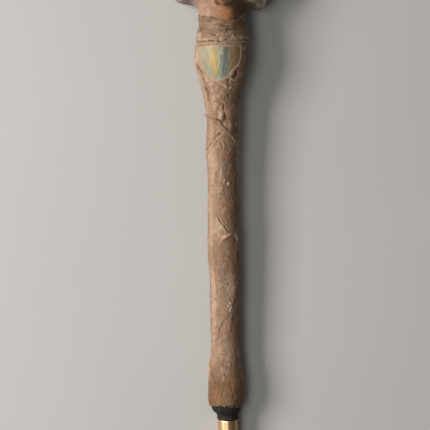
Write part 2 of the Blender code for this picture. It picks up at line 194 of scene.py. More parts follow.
# Finer folds on the front: ridge height, half width, step on the left, groove on the right, and points in the
# photo's frame
FOLDS = {
    "rim_gap": (
        0, 0.7, 0, 0.9,
        ((207, 40), (211, 39.4), (215, 39.8), (219, 40.4), (224, 39), (230, 38.2), (235, 38)),
    ),
    "band_strand": (
        0.3, 0.9, 0, 0.35,
        ((202, 26), (209, 27.5), (214, 25.6), (220, 27), (226, 29.6), (233, 33), (239, 37)),
    ),
    "band_low": (
        0.4, 0.9, 0.25, 0.4,
        ((200, 31), (206, 30.5), (213, 32.6), (221, 34.6), (229, 33.6), (238, 31.6)),
    ),
    "band_mid": (0.35, 0.8, 0.2, 0.35, ((203, 22.6), (211, 23.8), (219, 23), (228, 24.6), (238, 25.6))),
    "band_sink": (0.35, 0.8, 0, 0.4, ((207, 35.6), (215, 36.8), (224, 36), (233, 35.4))),
    "inlay_sill": (
        0.25, 1.4, 0, 0.25,
        ((198, 45), (205, 43.6), (213, 43.2), (221, 42.6), (229, 41.6), (236, 41.4)),
    ),
    "lower_lip": (
        0.55, 1.1, 0, 0.5,
        ((203, 71), (206.6, 76), (212, 79.6), (219, 83), (225, 86.2), (231, 90.6)),
    ),
    "lip_wrinkle": (0.2, 0.9, 0.15, 0.25, ((206, 83), (213, 85.6), (220, 90), (226, 96), (230, 103))),
    "lip_second": (0.2, 0.9, 0.15, 0.2, ((203, 88), (211, 91), (218, 95.6), (223, 101))),
    "strap_gap": (
        0, 0.9, 0, 1.8,
        ((194, 54), (197, 62.4), (199.6, 67.6), (202, 73), (204.6, 81), (207, 89), (208.6, 96), (209, 106)),
    ),
    "strap_edge": (
        1.1, 1.3, 0.2, 0.3,
        ((194.6, 57), (198, 68), (201, 76), (203.4, 84), (205.4, 92), (206, 101)),
    ),
    "pleat_a": (0.45, 0.8, 0, 0.5, ((211, 101.8), (216, 100.8), (221, 101.2), (226, 102.6))),
    "pleat_b": (0.35, 0.8, 0, 0.35, ((210, 106), (216, 104.6), (221, 105))),
    "pleat_c": (0.3, 0.8, 0, 0.3, ((209, 97.2), (215, 96.4), (221, 97.6))),
    "fissure": (
        0, 0.7, 0, 0.9,
        ((224.6, 121), (224.6, 117), (223.6, 112.4), (222.4, 109), (223, 106), (222, 102.6)),
    ),
    "flap_tip": (1.5, 2.2, 0, 0, ((221.2, 122.6), (220.8, 119), (220.9, 115), (221.6, 110))),
    "fold_gap": (
        0, 0.8, 0, 1.1,
        ((207, 114.4), (210, 116.6), (214, 118), (219, 119), (222.8, 122), (226.4, 126.4), (231, 129.4)),
    ),
    "second_roll": (
        0.6, 0.9, 0, 0.5,
        ((226.6, 133.4), (221, 137), (216, 141.6), (212, 147.4), (209, 153.4)),
    ),
    "apex_tuck": (0.5, 1.1, 0, 0.3, ((222, 140), (218.4, 143), (219.6, 146.4), (221.6, 149))),
    "worm": (0.5, 0.7, 0, 0.3, ((224, 137), (222.6, 141.6), (224.6, 145.4), (223.4, 149.6))),
    "layer_edge": (
        0.1, 0.8, 0.16, 0,
        ((225, 200), (223, 190), (224.6, 178), (223, 168), (224.6, 158), (224, 150)),
    ),
    "shaft_pleat": (0.35, 0.9, 0.1, 0.12, ((221.5, 182), (220.4, 177), (222, 173), (220.6, 168))),
    "fine_a": (0.3, 0.7, 0.1, 0.45, ((209, 183), (214, 184.6), (219, 184))),
    "fine_b": (0.3, 0.7, 0.1, 0.45, ((209, 188), (215, 187.4), (220, 189))),
    "fine_c": (0.25, 0.7, 0.1, 0.4, ((208.4, 160), (213, 158.8), (218, 159.6), (222, 161))),
    "fine_d": (0.25, 0.7, 0.1, 0.4, ((208.6, 166.4), (214, 167.2), (219, 166))),
    "fine_e": (0.25, 0.7, 0.1, 0.4, ((225, 152), (229, 153.4), (233, 152.6), (237, 154.6))),
    "fine_f": (0.25, 0.7, 0.1, 0.4, ((226, 168), (230, 169.4), (234, 168.2), (237, 170))),
    "fine_g": (0.25, 0.7, 0.1, 0.45, ((208, 127.4), (213, 128.6), (218, 127.4))),
    "fine_h": (0.25, 0.7, 0.1, 0.4, ((210, 92.6), (215, 93.4), (221, 92.4), (226, 93.6))),
    "fine_i": (0.25, 0.7, 0.1, 0.4, ((209, 111), (213, 110), (218, 110.6))),
    "fine_j": (0.25, 0.7, 0.1, 0.35, ((209, 192.6), (214, 193.6), (219, 192.4), (223, 193.4))),
    "crease_b": (
        0.3, 0.7, 0, 0.5,
        ((229.6, 228.6), (226.6, 226), (223.2, 222), (220, 216.6), (215, 209.6)),
    ),
    "crease_c": (0.25, 0.7, 0, 0.35, ((230.6, 226.4), (228.4, 222.6), (226, 218), (224.6, 212))),
    "crease_d": (0.25, 0.7, 0, 0.4, ((222.6, 231), (220.6, 228), (221.4, 225))),
    "ridge_e": (0.8, 1, 0.2, 0.5, ((220.4, 241), (224, 238.6), (228, 235.4), (232.6, 232))),
    "frill": (1.4, 1, 0, 0.7, ((233.6, 233), (235.6, 238), (238.4, 244.5), (237, 249.6))),
    "ring_left": (0.3, 0.7, 0, 0.3, ((220.5, 257.6), (217.8, 259), (217.9, 262.4), (220.5, 263.6))),
    "ring_right": (0.3, 0.7, 0, 0.3, ((220.5, 263.6), (223, 262.2), (223, 259.2), (220.5, 257.6))),
    "low_wrinkle": (0.25, 1, 0.1, 0.2, ((214, 269), (221, 275), (229, 273), (236, 278))),
    "slant_wrinkle": (0.3, 1, 0.1, 0.25, ((217, 292), (223, 285), (230, 282), (237, 284))),
    "crumple_a": (0.6, 0.9, 0, 0.4, ((226.6, 299), (229.6, 302), (231.6, 306), (230, 310), (232.6, 313))),
    "crumple_b": (0.5, 0.8, 0, 0.4, ((231.6, 298), (233.6, 303), (233, 308))),
    "crumple_gap": (0.3, 0.7, 0, 0.8, ((236.5, 300), (234.6, 305), (232.6, 311), (229.5, 316))),
    "grip_gap": (
        0, 0.7, 0, 0.6,
        (
            (229, 318), (226, 320), (223, 324.6), (220.8, 330), (220, 336), (218.4, 340), (216, 341.4),
            (213, 342.8),
        ),
    ),
    "foot_gap": (0, 0.8, 0, 1.2, ((211.6, 362), (211.4, 368), (212.2, 373), (213.4, 378), (214.6, 385))),
    "foot_slack": (0.4, 1, 0, 0.35, ((222.6, 383), (224.6, 378), (223.4, 374), (226.4, 371.6))),
    "foot_mark": (0.45, 0.8, 0, 0.3, ((226, 365.6), (229, 364.6), (231.6, 366))),
    "roll_shade": (
        0, 0.7, 0, 0.7,
        ((224.6, 131.6), (219, 135), (213.6, 140.4), (209.6, 147), (207, 153.6)),
    ),
    "side_shade": (
        0, 0.7, 0, 0.7,
        ((240, 152.4), (238.4, 146), (235.6, 139.6), (232, 135), (228.6, 132.2)),
    ),
}

# Small bumps (and, below zero, pits) on the front: right, down, radius and height
BUMPS = (
    (199.5, 34.5, 2.2, 1.2), (202.4, 37.8, 1.9, 1), (198.4, 39.5, 1.8, 0.9), (196.3, 60.5, 1.7, 0.9),
    (205.2, 38.6, 1.4, 0.5), (244.2, 48, 1.3, 1.2), (242, 36, 1.8, 0.6), (210.8, 39.6, 1, -1),
    (219, 39.8, 1.3, -1.3), (225, 31, 1.1, 0.5), (215.5, 29, 1.2, -0.5), (231, 27.6, 1.2, 0.5),
    (235.4, 72.2, 2.3, -1.7), (234, 76.4, 1.9, -1.4), (236.6, 75, 1.5, -1), (233.2, 73.6, 1.2, 0.7),
    (228.2, 80, 1.3, -1.1), (228, 83.4, 1, -0.8), (226, 86.6, 1.1, 1), (230.4, 88.2, 1.2, 1.2),
    (227.6, 90.4, 0.9, -0.5), (228.6, 95.4, 1.1, -1), (228.8, 98.6, 0.9, -0.7), (206.2, 100.5, 1.8, 1.2),
    (224.6, 91, 1, -0.5), (221.8, 104.6, 1, -0.8), (223.2, 108.4, 0.8, -0.6), (229.5, 114.4, 5, 1.2),
    (233.6, 112.6, 1.3, 0.5), (223, 122.6, 1.4, -1.2), (230, 125.4, 3, 1.2), (206.4, 115.6, 2.4, 1.5),
    (234.2, 142.2, 1.1, 0.9), (216.6, 150, 2.6, 0.4), (228.4, 183.6, 1.2, 1.1), (225.4, 180.2, 1, 0.5),
    (221.8, 186.6, 1.2, 0.5), (219.4, 171.4, 1.2, 0.5), (221.8, 226.8, 2.2, 0.9), (220.6, 230.4, 1.4, 0.6),
    (229.2, 306, 1.6, 1.1), (231.8, 302.6, 1.3, 0.8), (230.6, 311.6, 1.4, 0.8), (233.6, 308.6, 1, -0.8),
    (229, 364.8, 1.8, 0.5), (223.2, 376.8, 2.2, 0.5), (212.2, 366.6, 1, -1.1), (215.2, 383.2, 1, -1.1),
    (213.4, 387.4, 1, -1), (209.6, 372, 1.8, 1), (209.4, 377.4, 2, 1.1), (209.8, 393, 1.4, 0.6),
    (218, 306, 4, 0.3), (226, 255, 3, -0.3), (195.8, 47, 1.6, 0.7), (196.4, 53.6, 1.5, 0.6),
    (196, 39, 1.5, 1), (195.6, 43, 1.3, 0.5), (198, 67.6, 1.6, 0.7), (200.6, 79, 1.8, 0.6),
    (203.8, 91, 1.6, 0.6), (207.6, 124, 2, 0.4), (200.4, 24.4, 1.3, 0.4), (199.6, 15, 1.4, 0.5),
    (244.4, 41.4, 1.6, 0.6), (243.8, 58.6, 1.8, 0.5), (214, 172, 3, 0.3), (237.4, 114, 4.6, 1.1),
    (236.6, 131, 3.4, -0.9), (238.6, 190, 3, 0.6), (236, 175, 4, -0.4), (208.4, 138, 4, -0.4),
    (239.6, 205, 4, -0.5), (209, 262, 5, -0.4), (236, 160, 2.4, 0.5), (239, 150, 3, 1.2),
    (207.6, 151, 3.2, 1.3), (201, 70.6, 1.4, -1.3), (199.6, 67.4, 1.2, -1.2), (203.2, 77.4, 0.9, -0.7),
    (205.8, 88.4, 1.1, -1), (206.2, 92.6, 1.3, -1.3), (207, 97, 1, -0.9),
)

# Stains of the wrap, with some painted shade and a painted highlight, in the photo's frame: right, down, half
# width, half height and strength
STAINS = {
    # The pale mark down the frill is a painted highlight
    "pale": (
        (200, 36, 3, 4, 0.8), (216, 42, 16, 2.4, 0.3), (197, 54, 2.8, 11, 1), (244, 48, 1.4, 1.4, 0.9),
        (205, 79, 4, 4, 0.5), (226, 87, 1.3, 1.2, 1), (230.3, 88, 1.3, 1.1, 1), (204, 86, 2, 16, 0.7),
        (199, 73, 1.8, 8, 0.9), (196.4, 60, 1.6, 6, 0.8), (224, 352, 7, 10, 0.35), (206, 101, 1.8, 1.8, 0.7),
        (222, 115, 1.4, 5, 0.9), (230, 125, 2.4, 2.4, 0.4), (207, 116, 1.6, 1.6, 0.7), (211, 132, 3, 12, 0.5),
        (234, 142, 1, 1, 1), (228.3, 183.4, 1.3, 1.4, 1), (221, 174, 1.4, 7, 0.6),
        (224, 181, 1, 2.6, 0.7), (212, 165, 3.4, 22, 0.4), (211, 225, 2.6, 30, 0.5),
        (222, 227, 1.5, 3.6, 0.9), (226, 237, 5, 1.1, 0.7), (236, 243, 1.3, 8, 0.9), (214, 305, 3.4, 40, 0.6),
        (230, 306, 2, 5, 0.8), (229, 364.6, 2.4, 0.9, 0.8), (224, 378, 1.6, 3, 0.6),
        (209.6, 374, 1.6, 7, 0.9), (231, 286, 5, 13, 0.45),
    ),
    # The rust marks just under the neck and along the inlay's top are painted shade
    "rust": (
        (230, 115, 4.8, 5, 1), (237, 108, 4, 12, 0.5), (235, 150, 4, 9, 0.7), (229, 160, 4, 6, 0.4),
        (236, 196, 4, 20, 0.8), (219, 204, 8, 8, 0.35), (228, 216, 6, 8, 0.5), (232, 250, 4, 14, 0.45),
        (216, 393, 5, 9, 0.7), (226, 397, 8, 8, 0.35), (234, 384, 7, 12, 0.4), (214, 60, 14, 30, 0.1),
        (237, 62, 4, 12, 0.6), (225, 20.5, 9, 2.4, 0.7), (211, 43.2, 13, 1.3, 0.4), (232, 332, 7, 12, 0.3),
        (224, 351, 8, 10, 0.2),
    ),
    "olive": (
        (222, 28, 18, 7, 0.55), (238, 30, 7, 10, 0.7), (231, 93, 8, 10, 0.55), (226, 140, 8, 7, 0.45),
        (230, 126, 3, 2.6, 0.5), (228, 180, 6, 8, 0.55), (226, 200, 8, 14, 0.35), (229, 226, 7, 9, 0.4),
        (219, 261, 5, 4, 0.55), (229, 264, 6, 8, 0.4), (224, 300, 8, 9, 0.5), (222, 320, 4, 9, 0.35),
        (238, 380, 4, 22, 0.6), (222, 350, 7, 8, 0.3),
    ),
    # The umber marks are mostly painted shade: down the right side, and in folds, cavities, pits and the
    # strap's groove
    "umber": (
        (230, 27, 9, 5, 0.6), (233, 38, 6, 3, 0.8), (213, 33, 4, 1.6, 0.4), (206, 27, 3, 2, 0.3),
        (238, 20, 5, 5, 0.7), (233.6, 131, 2.6, 4, 1), (226.6, 128, 1.6, 1.2, 0.8), (234, 162, 4, 10, 0.5),
        (236, 186, 3, 14, 0.6), (236, 212, 3, 12, 0.5), (238, 262, 3, 14, 0.6), (230, 92, 2.4, 5, 0.6),
        (228, 104, 5, 8, 0.4), (237, 395, 5, 12, 0.5), (240, 372, 3, 12, 0.5), (198.4, 66, 1.5, 4.6, 0.9),
        (238, 318, 3, 20, 0.4), (200.6, 71, 1.2, 3, 0.8), (207.8, 93, 1.3, 6, 0.9), (205.2, 83, 1.1, 5, 0.6),
        (228, 82, 1.4, 3, 0.7), (235, 74.4, 2.4, 4, 0.75), (228.6, 97, 1.4, 3.4, 0.7),
        (223.4, 107, 1.6, 4, 0.6), (229, 116, 3, 3, 0.4), (232, 115, 5, 7, 0.5), (221, 30.4, 5, 1, 0.5),
        (216, 24, 6, 0.9, 0.4), (226, 41.6, 8, 1.2, 0.4),
    ),
    "violet": (
        (225, 164, 5, 6, 0.45), (222, 271, 5, 4.6, 0.75), (229, 258, 3, 3, 0.6), (230, 276, 4, 5, 0.5),
        (224, 243, 6, 5, 0.35), (226, 287, 7, 7, 0.45), (220, 150, 4, 5, 0.3), (232, 312, 4, 6, 0.4),
        (220, 30, 6, 4, 0.4), (212, 91, 5, 6, 0.3), (218, 370, 5, 8, 0.45), (230, 352, 6, 8, 0.4),
    ),
}

# Areas of colour in the inlay, in the same terms
SHELL_AREAS = {
    "cream": (
        (200.5, 53, 6, 10, 0.95), (204.3, 51.5, 2.4, 2.8, 1), (219, 59.5, 1.4, 5, 0.9),
        (212, 46.8, 8, 1.3, 0.6), (216, 77.8, 2.4, 1.4, 0.6),
    ),
    "mint": (
        (208.6, 70, 4.2, 8, 1), (203, 61, 3.2, 6, 0.7), (229.6, 49.6, 2.2, 3.2, 0.8),
        (227.6, 69, 2, 4.5, 0.6), (206, 57, 2.4, 4, 0.4),
    ),
    "aqua": ((220.9, 50.8, 2.4, 3.6, 1), (219, 58, 1.2, 5, 0.5), (219, 78, 1.4, 2.4, 0.7)),
    "gold": (
        (213.6, 59, 4.6, 7, 1), (215.4, 67, 3.2, 7, 1), (212.6, 50, 5.4, 4, 0.65),
        (210.4, 63, 2.6, 4.4, 0.7), (213, 74, 2.6, 3, 0.6), (232.6, 55, 2, 5, 0.35),
    ),
    "slate": ((226.2, 59, 1.8, 3.6, 0.7), (224.8, 65, 2.2, 3.6, 0.8), (223.6, 72, 2, 4.4, 0.9)),
    "orange": ((215.4, 66.6, 1.8, 3.6, 0.9), (214.4, 58, 1.6, 2.2, 0.4), (215.4, 72, 1.2, 2, 0.6)),
    "teal": (
        (226, 50, 2.9, 4.4, 1), (225, 60, 4.2, 8, 1), (224.2, 70, 3.2, 6, 1), (222.4, 76, 1.6, 3, 0.6),
    ),
    "moss": ((231.8, 53, 3.6, 7, 0.9), (230.4, 63, 3.2, 5, 0.9), (228.6, 71, 1.8, 3, 0.6)),
    "russet": ((237.6, 54, 3.4, 11, 1), (234.6, 63, 3.4, 7, 1), (231, 70, 2.4, 5, 0.8)),
    "vein": (
        (219.8, 76, 0.9, 4, 1), (220.2, 70, 1, 5, 1), (220.6, 64, 0.8, 3.6, 0.9), (222, 57, 0.7, 4, 0.6),
    ),
}

# Colours of the skin and the head's wood by place on a broad noise, of each stain with the most that it
# covers, and of the inlay's areas in the order in which they lie over each other
# The lit skin is painted light, for the wrap's left side, and the shaded skin painted shade, for its right
# side
LIT_SKIN = (
    (0.32, (0.255, 0.148, 0.092)), (0.48, (0.375, 0.238, 0.162)), (0.62, (0.460, 0.308, 0.218)),
    (0.76, (0.375, 0.245, 0.165)),
)
SHADED_SKIN = (
    (0.32, (0.175, 0.102, 0.058)), (0.48, (0.285, 0.176, 0.105)), (0.62, (0.355, 0.228, 0.140)),
    (0.76, (0.255, 0.166, 0.100)),
)
HEAD_WOOD = (
    (0.28, (0.150, 0.085, 0.050)), (0.45, (0.290, 0.180, 0.115)), (0.62, (0.400, 0.275, 0.190)),
    (0.75, (0.310, 0.230, 0.165)),
)
STAIN_TONES = {
    "olive": (0.65, (0.205, 0.150, 0.075)),
    "violet": (0.70, (0.235, 0.165, 0.145)),
    "rust": (0.80, (0.290, 0.125, 0.052)),
    "umber": (0.80, (0.115, 0.060, 0.031)),
    "pale": (0.72, (0.620, 0.445, 0.325)),
}
SHELL_TONES = {
    "russet": (0.245, 0.105, 0.038),
    "mint": (0.180, 0.205, 0.130),
    "cream": (0.285, 0.246, 0.168),
    "aqua": (0.270, 0.350, 0.270),
    "gold": (0.385, 0.262, 0.045),
    "orange": (0.440, 0.225, 0.060),
    "moss": (0.205, 0.142, 0.052),
    "teal": (0.050, 0.092, 0.100),
    "slate": (0.092, 0.095, 0.122),
    "vein": (0.110, 0.235, 0.130),
}

# How deep the wrap's level wrinkles, upright grain and weave are, by millimetres along
LEVEL_WRINKLES = (
    (0, 0.05), (40, 0.08), (70, 0.16), (110, 0.08), (150, 0.12), (185, 0.06), (215, 0.20), (240, 0.26),
    (262, 0.20), (290, 0.22), (318, 0.24), (330, 0.16), (358, 0.10), (370, 0.50), (389, 0.50),
)
UPRIGHT_GRAIN = (
    (0, 0.20), (26, 0.20), (50, 0.09), (90, 0.05), (150, 0.05), (185, 0.16), (210, 0.18), (228, 0.03),
    (262, 0.03), (290, 0.04), (389, 0.03),
)
WEAVE = ((0, 0.16), (20, 0.15), (34, 0.0), (358, 0.0), (368, 0.08), (389, 0.09))

# How many short folds stand behind, and how many lumps on the rim between two shares of the wrapped length
RANDOM_FOLDS = 110
RIM_LUMPS = 90
RIM_SHARES = (0.928, 0.955)

# The skin's torn layers: the seed of each one's outline, and how little of the wrap it covers
LAYERS = ((61, 0.12), (63, -0.35), (65, 0.5))

# How far along a fold still marks the skin, and how far round the front the photo settles the folds
FOLD_REACH = 12
PHOTO_TURN = 1.1

# How many loose fibres stand at each place
FIBRES = {"top": 120, "foot": 110, "rim": 90, "back": 170, "frill": 34, "crumple_a": 14, "flap_tip": 8}

# Threads that lie on the wrap: radius and points in the photo's frame
THREADS = {
    "inlay_right": (
        0.44,
        (
            (232, 35), (237.5, 37), (240.6, 43), (241, 50), (240.2, 57), (238.6, 62.5), (235, 67.6),
            (231.4, 71.4), (230.2, 75), (230.8, 78.6), (233.4, 80.2), (237, 79.4), (239.6, 76.6), (240, 72.6),
        ),
    ),
    "inlay_below": (
        0.44,
        ((205.4, 74.6), (209, 77.6), (214, 79.6), (219.6, 82), (225, 85.4), (230, 87.8), (234, 88.6)),
    ),
    "inlay_left": (0.26, ((197.4, 47.4), (197.9, 54), (199.4, 61), (201.8, 68), (205.4, 74.6))),
    "band_right": (0.35, ((244.6, 13.4), (242.4, 16), (239.4, 18.6), (235.6, 20.4), (231, 21.6))),
    "apex_strand": (0.40, ((206.2, 155.6), (210.6, 147.6), (217, 140.4), (223.4, 134), (228, 131.4))),
    "right_strand": (0.40, ((226.4, 131), (230.6, 135), (233.6, 141), (236.4, 147), (238, 153))),
    "mid_strand": (
        0.32,
        ((220, 241), (225.4, 238.6), (230.6, 234.8), (234.6, 233.8), (236.8, 239), (238.4, 246)),
    ),
}

# The head's lobes, as in the solid: centre and half sizes (right, up from the middle, forward) as shares of
# its height, and squareness
HEAD_LOBES = {
    "body": ((0.000, 0.020, -0.010), (0.325, 0.345, 0.265), 2.0),
    "left": ((-0.297, -0.016, -0.090), (0.200, 0.241, 0.222), 3.0),
    "right": ((0.322, -0.086, -0.075), (0.196, 0.238, 0.225), 2.0),
    "crown": ((0.010, 0.350, -0.020), (0.225, 0.240, 0.205), 2.2),
    "front": ((0.030, -0.075, 0.245), (0.118, 0.210, 0.105), 2.3),
}
HEAD_BLEND = 0.080

# How far down the neck runs under the wrap
NECK_END = 378.0


def s_curve(stations, at):
    """Values at places on a list of (place, value), with an S-curve between neighbours."""
    places, values = (np.array(column, float) for column in zip(*stations))
    index = np.clip(np.searchsorted(places, at) - 1, 0, len(places) - 2)
    part = np.clip((at - places[index]) / (places[index + 1] - places[index]), 0, 1)
    return values[index] + (values[index + 1] - values[index]) * part * part * (3 - 2 * part)


def smooth(value, low=0.0, high=1.0):
    part = np.clip((value - low) / (high - low), 0, 1)
    return part * part * (3 - 2 * part)


def turned(angle, start=0.0):
    """How far angles are round from a start, from minus half a turn to half a turn."""
    return np.mod(angle - start + math.pi, math.tau) - math.pi


def lumps(points, seed=0):
    """Smooth noise from -1 to 1, with one lump to each unit of length."""
    base = np.floor(points)
    part = smooth(points - base)
    total = 0
    for corner in itertools.product((0, 1), repeat=3):
        weight = np.prod(np.where(corner, part, 1 - part), axis=-1)
        spread = np.sin((base + corner) @ (12.9898, 78.233, 37.719) + 17.3 * seed) * 43758.5453
        total = total + weight * (2 * (spread - np.floor(spread)) - 1)
    return total


def fractal(points, octaves, seed=0):
    return sum(lumps(points * 2.03**k, seed + k) / 2**k for k in range(octaves))


def ridged(points, octaves, seed=0):
    return sum((1 - 2 * np.abs(lumps(points * 2.03**k, seed + k))) / 2**k for k in range(octaves))


def through(points, steps):
    """Catmull-Rom points through a short list, with the same number of steps between each two."""
    points = np.array(points, float)
    ends = np.vstack((2 * points[0] - points[1], points, 2 * points[-1] - points[-2]))
    part = np.arange(steps)[:, None] / steps
    runs = []
    for a, b, c, d in zip(ends, ends[1:], ends[2:], ends[3:]):
        bend = (2 * a - 5 * b + 4 * c - d) * part**2 + (3 * b - a - 3 * c + d) * part**3
        runs.append(b + 0.5 * ((c - a) * part + bend))
    return np.vstack((*runs, points[-1:]))


def round_the_axis(angle, along, radius, aside=0.0):
    """Points at these angles, heights and radii, moved aside along x, as an array of (x, y, z)."""
    angle, along, radius = np.broadcast_arrays(angle, along, radius)
    return np.stack((radius * np.sin(angle) + aside, along, radius * np.cos(angle)), axis=-1)


def above_floor(angle, along, radius):
    """The radii, cut where they would reach below the floor."""
    down = -np.cos(angle)
    room = (FOOT_REST_DEPTH + FLOOR_SLOPE * (along - FOOT_REST)) / np.maximum(down, 1e-6)
    return np.where(down > 1e-6, np.minimum(radius, room), radius)


def placed(points):
    """Points in the sceptre's own frame, in millimetres, as points of the frame in metres."""
    turn = np.array(Matrix.Rotation(TILT, 3, "X"))
    return points.reshape(-1, 3) @ turn.T * MM + np.array(lying_origin())


def lying_origin():
    """Where the axis is at the lower edge of the wrap, from the ferrule's solid."""
    low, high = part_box("brass_ferrule")
    middle = (low + high) / 2
    below = (COLLAR_LENGTH + JOINT_GAP + FERRULE_LENGTH / 2) * MM
    return middle + Vector((-FERRULE_OFFSET * MM, below * math.cos(TILT), below * math.sin(TILT)))


def sway(along):
    return s_curve(SHAFT_SWAY, along / WRAP_LENGTH)


def shaft_radius(angle, along):
    share = np.clip(along / WRAP_LENGTH, 0, 1)
    radius = s_curve(SHAFT_PROFILE, share)
    for height, lobes, turns, phase in UNEVEN_WAVES:
        radius = radius + height * np.sin(lobes * angle + math.tau * turns * share + phase)
    into = 1 - np.clip(along / FOOT_ROUNDING, 0, 1)
    return radius - FOOT_TUCK * (1 - np.sqrt(1 - into * into))


def on_front(points):
    """Places on the front that the camera sees at these points of the photo's frame, as (angle, along)."""
    right, down = np.array(points, float).T
    right, up = right - FRAME_SIDE / 2, FRAME_SIDE / 2 - down
    out, rise = 0.0, 0.0
    for _ in range(6):
        shrink = 1 - rise / CAMERA_AWAY
        across = CENTRE_ACROSS + shrink * (right * math.cos(LEAN) + up * math.sin(LEAN))
        along = CENTRE_ALONG + shrink * (up * math.cos(LEAN) - right * math.sin(LEAN)) + out * math.tan(TILT)
        radius = s_curve(SHAFT_PROFILE, np.clip(along / WRAP_LENGTH, 0, 1))
        across = across - sway(along)
        out = np.sqrt(np.maximum(radius**2 - across**2, 0))
        rise = (along - CENTRE_ALONG) * math.sin(TILT) + out * math.cos(TILT)
    return np.stack((np.arcsin(np.clip(across / radius, -0.98, 0.98)), along), axis=-1)


def add_mesh(name, points, faces, material, fields=None, sharp_from=None):
    """An object of this mesh, smooth below an angle in degrees, with a float attribute for each field."""
    mesh = bpy.data.meshes.new(name.removeprefix("visual_"))
    mesh.from_pydata(points, [], faces)
    for key, values in (fields or {}).items():
        field = mesh.attributes.new(key, "FLOAT", "POINT")
        field.data.foreach_set("value", values.astype(np.float32).ravel())
    mesh.materials.append(material)
    mesh.shade_smooth()
    if sharp_from:
        mesh.set_sharp_from_angle(angle=math.radians(sharp_from))
    made = bpy.data.objects.new(name, mesh)
    bpy.context.scene.collection.objects.link(made)
    return made


def tube_faces(index):
    """The faces of a closed tube whose corners' numbers stand in rings, from its first end to its last."""
    after = np.roll(index, -1, axis=1)
    quads = np.stack((index[:-1], after[:-1], after[1:], index[1:]), axis=-1).reshape(-1, 4)
    return [*quads.tolist(), index[0][::-1].tolist(), index[-1].tolist()]


def rod(name, points, material, fields):
    """A closed piece through rings of points, from foot to head, that replaces the solid of that name."""
    shape = points.shape[:2]
    faces = tube_faces(np.arange(math.prod(shape)).reshape(shape))
    fields = {key: np.broadcast_to(values, shape) for key, values in fields.items()}
    piece = add_mesh("visual_" + name, placed(points), faces, material, fields, 60)
    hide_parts(name)
    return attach(piece, "root")


def near(angle, along, radius, path):
    """How far each place on the unrolled wrap is from a path of (angle, along), on which side of it (1 is its
    left), and how strongly the path runs there (0 at its ends)."""
    best = np.full(angle.shape, np.inf)
    side = np.ones(angle.shape)
    part = np.zeros(angle.shape)
    for k, (first, last) in enumerate(itertools.pairwise(path)):
        across = turned(angle, first[0]) * radius
        up = along - first[1]
        run = ((last[0] - first[0]) * radius, last[1] - first[1])
        length = run[0] ** 2 + run[1] ** 2 + 1e-9
        share = np.clip((across * run[0] + up * run[1]) / length, 0, 1)
        gap = np.hypot(across - share * run[0], up - share * run[1])
        closer = gap < best
        best = np.where(closer, gap, best)
        side = np.where(closer, np.sign(run[0] * up - run[1] * across), side)
        part = np.where(closer, (k + share) / (len(path) - 1), part)
    return best, side, part


class Wrap:
    """Places on the wrap's surface, with the relief and the marks that its folds leave there, among them
    painted shade, with some dirt, in grooves and pits.
    """

    def __init__(self, angle, along):
        self.angle, self.along = angle, along
        self.radius = shaft_radius(angle, along)
        self.relief = np.zeros(angle.shape)
        # Painted shade, with some dirt, in grooves, pits and low places
        self.shade_and_dirt = np.zeros(angle.shape)
        self.worn = np.zeros(angle.shape)
        self.layers = np.zeros(angle.shape)
        self.solid = round_the_axis(angle, along, self.radius)
        self.stray = [
            0.42 * lumps(self.solid / 4.2, seed) + 0.25 * lumps(self.solid / 1.9, seed + 1) for seed in (5, 7)
        ]
        self.patchy = smooth(lumps(self.solid / 3.6, 9), -0.75, 0.55)

    def fold(self, path, ridge, width, step, groove, closed=False):
        """A ridge along a path, raised skin on its left that fades, and a groove on its right darkened with
        painted shade and some dirt.
        """
        low, high = path[:, 1].min() - FOLD_REACH, path[:, 1].max() + FOLD_REACH
        rows = np.flatnonzero((self.along.max(axis=1) > low) & (self.along.min(axis=1) < high))
        at = slice(rows[0], rows[-1] + 1)
        radius = self.radius[at]
        gap, side, part = near(
            self.angle[at] + self.stray[0][at] / radius, self.along[at] + self.stray[1][at], radius, path
        )
        ends = 1.0 if closed else smooth(np.minimum(part, 1 - part), 0.0, 0.16)
        patchy = 0.45 + 0.75 * self.patchy[at]
        crest = ends * np.clip(1 - (gap / (width * (0.7 + 0.5 * patchy))) ** 2, 0, 1) ** 0.7
        raised = ends * smooth(side * gap, -0.3, 0.4) * np.exp(-np.maximum(side * gap, 0) / 5)
        cut = ends * np.exp(-(((side * gap + 0.85 * width + 0.3) / 0.6) ** 2)) * patchy
        self.relief[at] += patchy * ridge * crest + step * raised - groove * cut
        # Painted shade, with some dirt, in the groove
        self.shade_and_dirt[at] = np.maximum(self.shade_and_dirt[at], cut * min(0.9, 0.95 * groove))
        self.worn[at] = np.maximum(self.worn[at], crest * patchy * min(1.0, 1.1 * ridge))

    def bump(self, place, size, height):
        angle, along = place
        across = turned(self.angle, angle) * self.radius + self.stray[0]
        near_it = np.exp(-(np.hypot(across, self.along - along + self.stray[1]) / size) ** 2)
        self.relief += height * near_it
        if height > 0:
            self.worn = np.maximum(self.worn, 0.6 * min(1.0, height) * near_it)
        # A pit below zero also gets painted shade, with some dirt
        else:
            self.shade_and_dirt = np.maximum(self.shade_and_dirt, 0.85 * min(1.0, -height) * near_it**2.5)

    def patches(self, places, ragged=0.7):
        """How strongly ragged patches, given in the photo's frame, cover each place."""
        covered = np.zeros(self.angle.shape)
        noise = ragged * fractal(self.solid / 3.4, 3, 13)
        for right, down, wide, high, strength in places:
            angle, along = on_front([(right, down)])[0]
            across = turned(self.angle, angle) * self.radius
            away = np.hypot(across / wide, (self.along - along) / high)
            covered = np.maximum(covered, strength * smooth(1.25 - away + 0.45 * noise, -0.1, 0.7))
        return covered


def inlay_half_angle(down):
    """Half the inlay's width as an angle, from its flat top (0) down to its tip (1)."""
    return INLAY_WIDTH / 2 / SWELL_RADIUS * np.maximum(0, 1 - down**2.27) ** 0.6


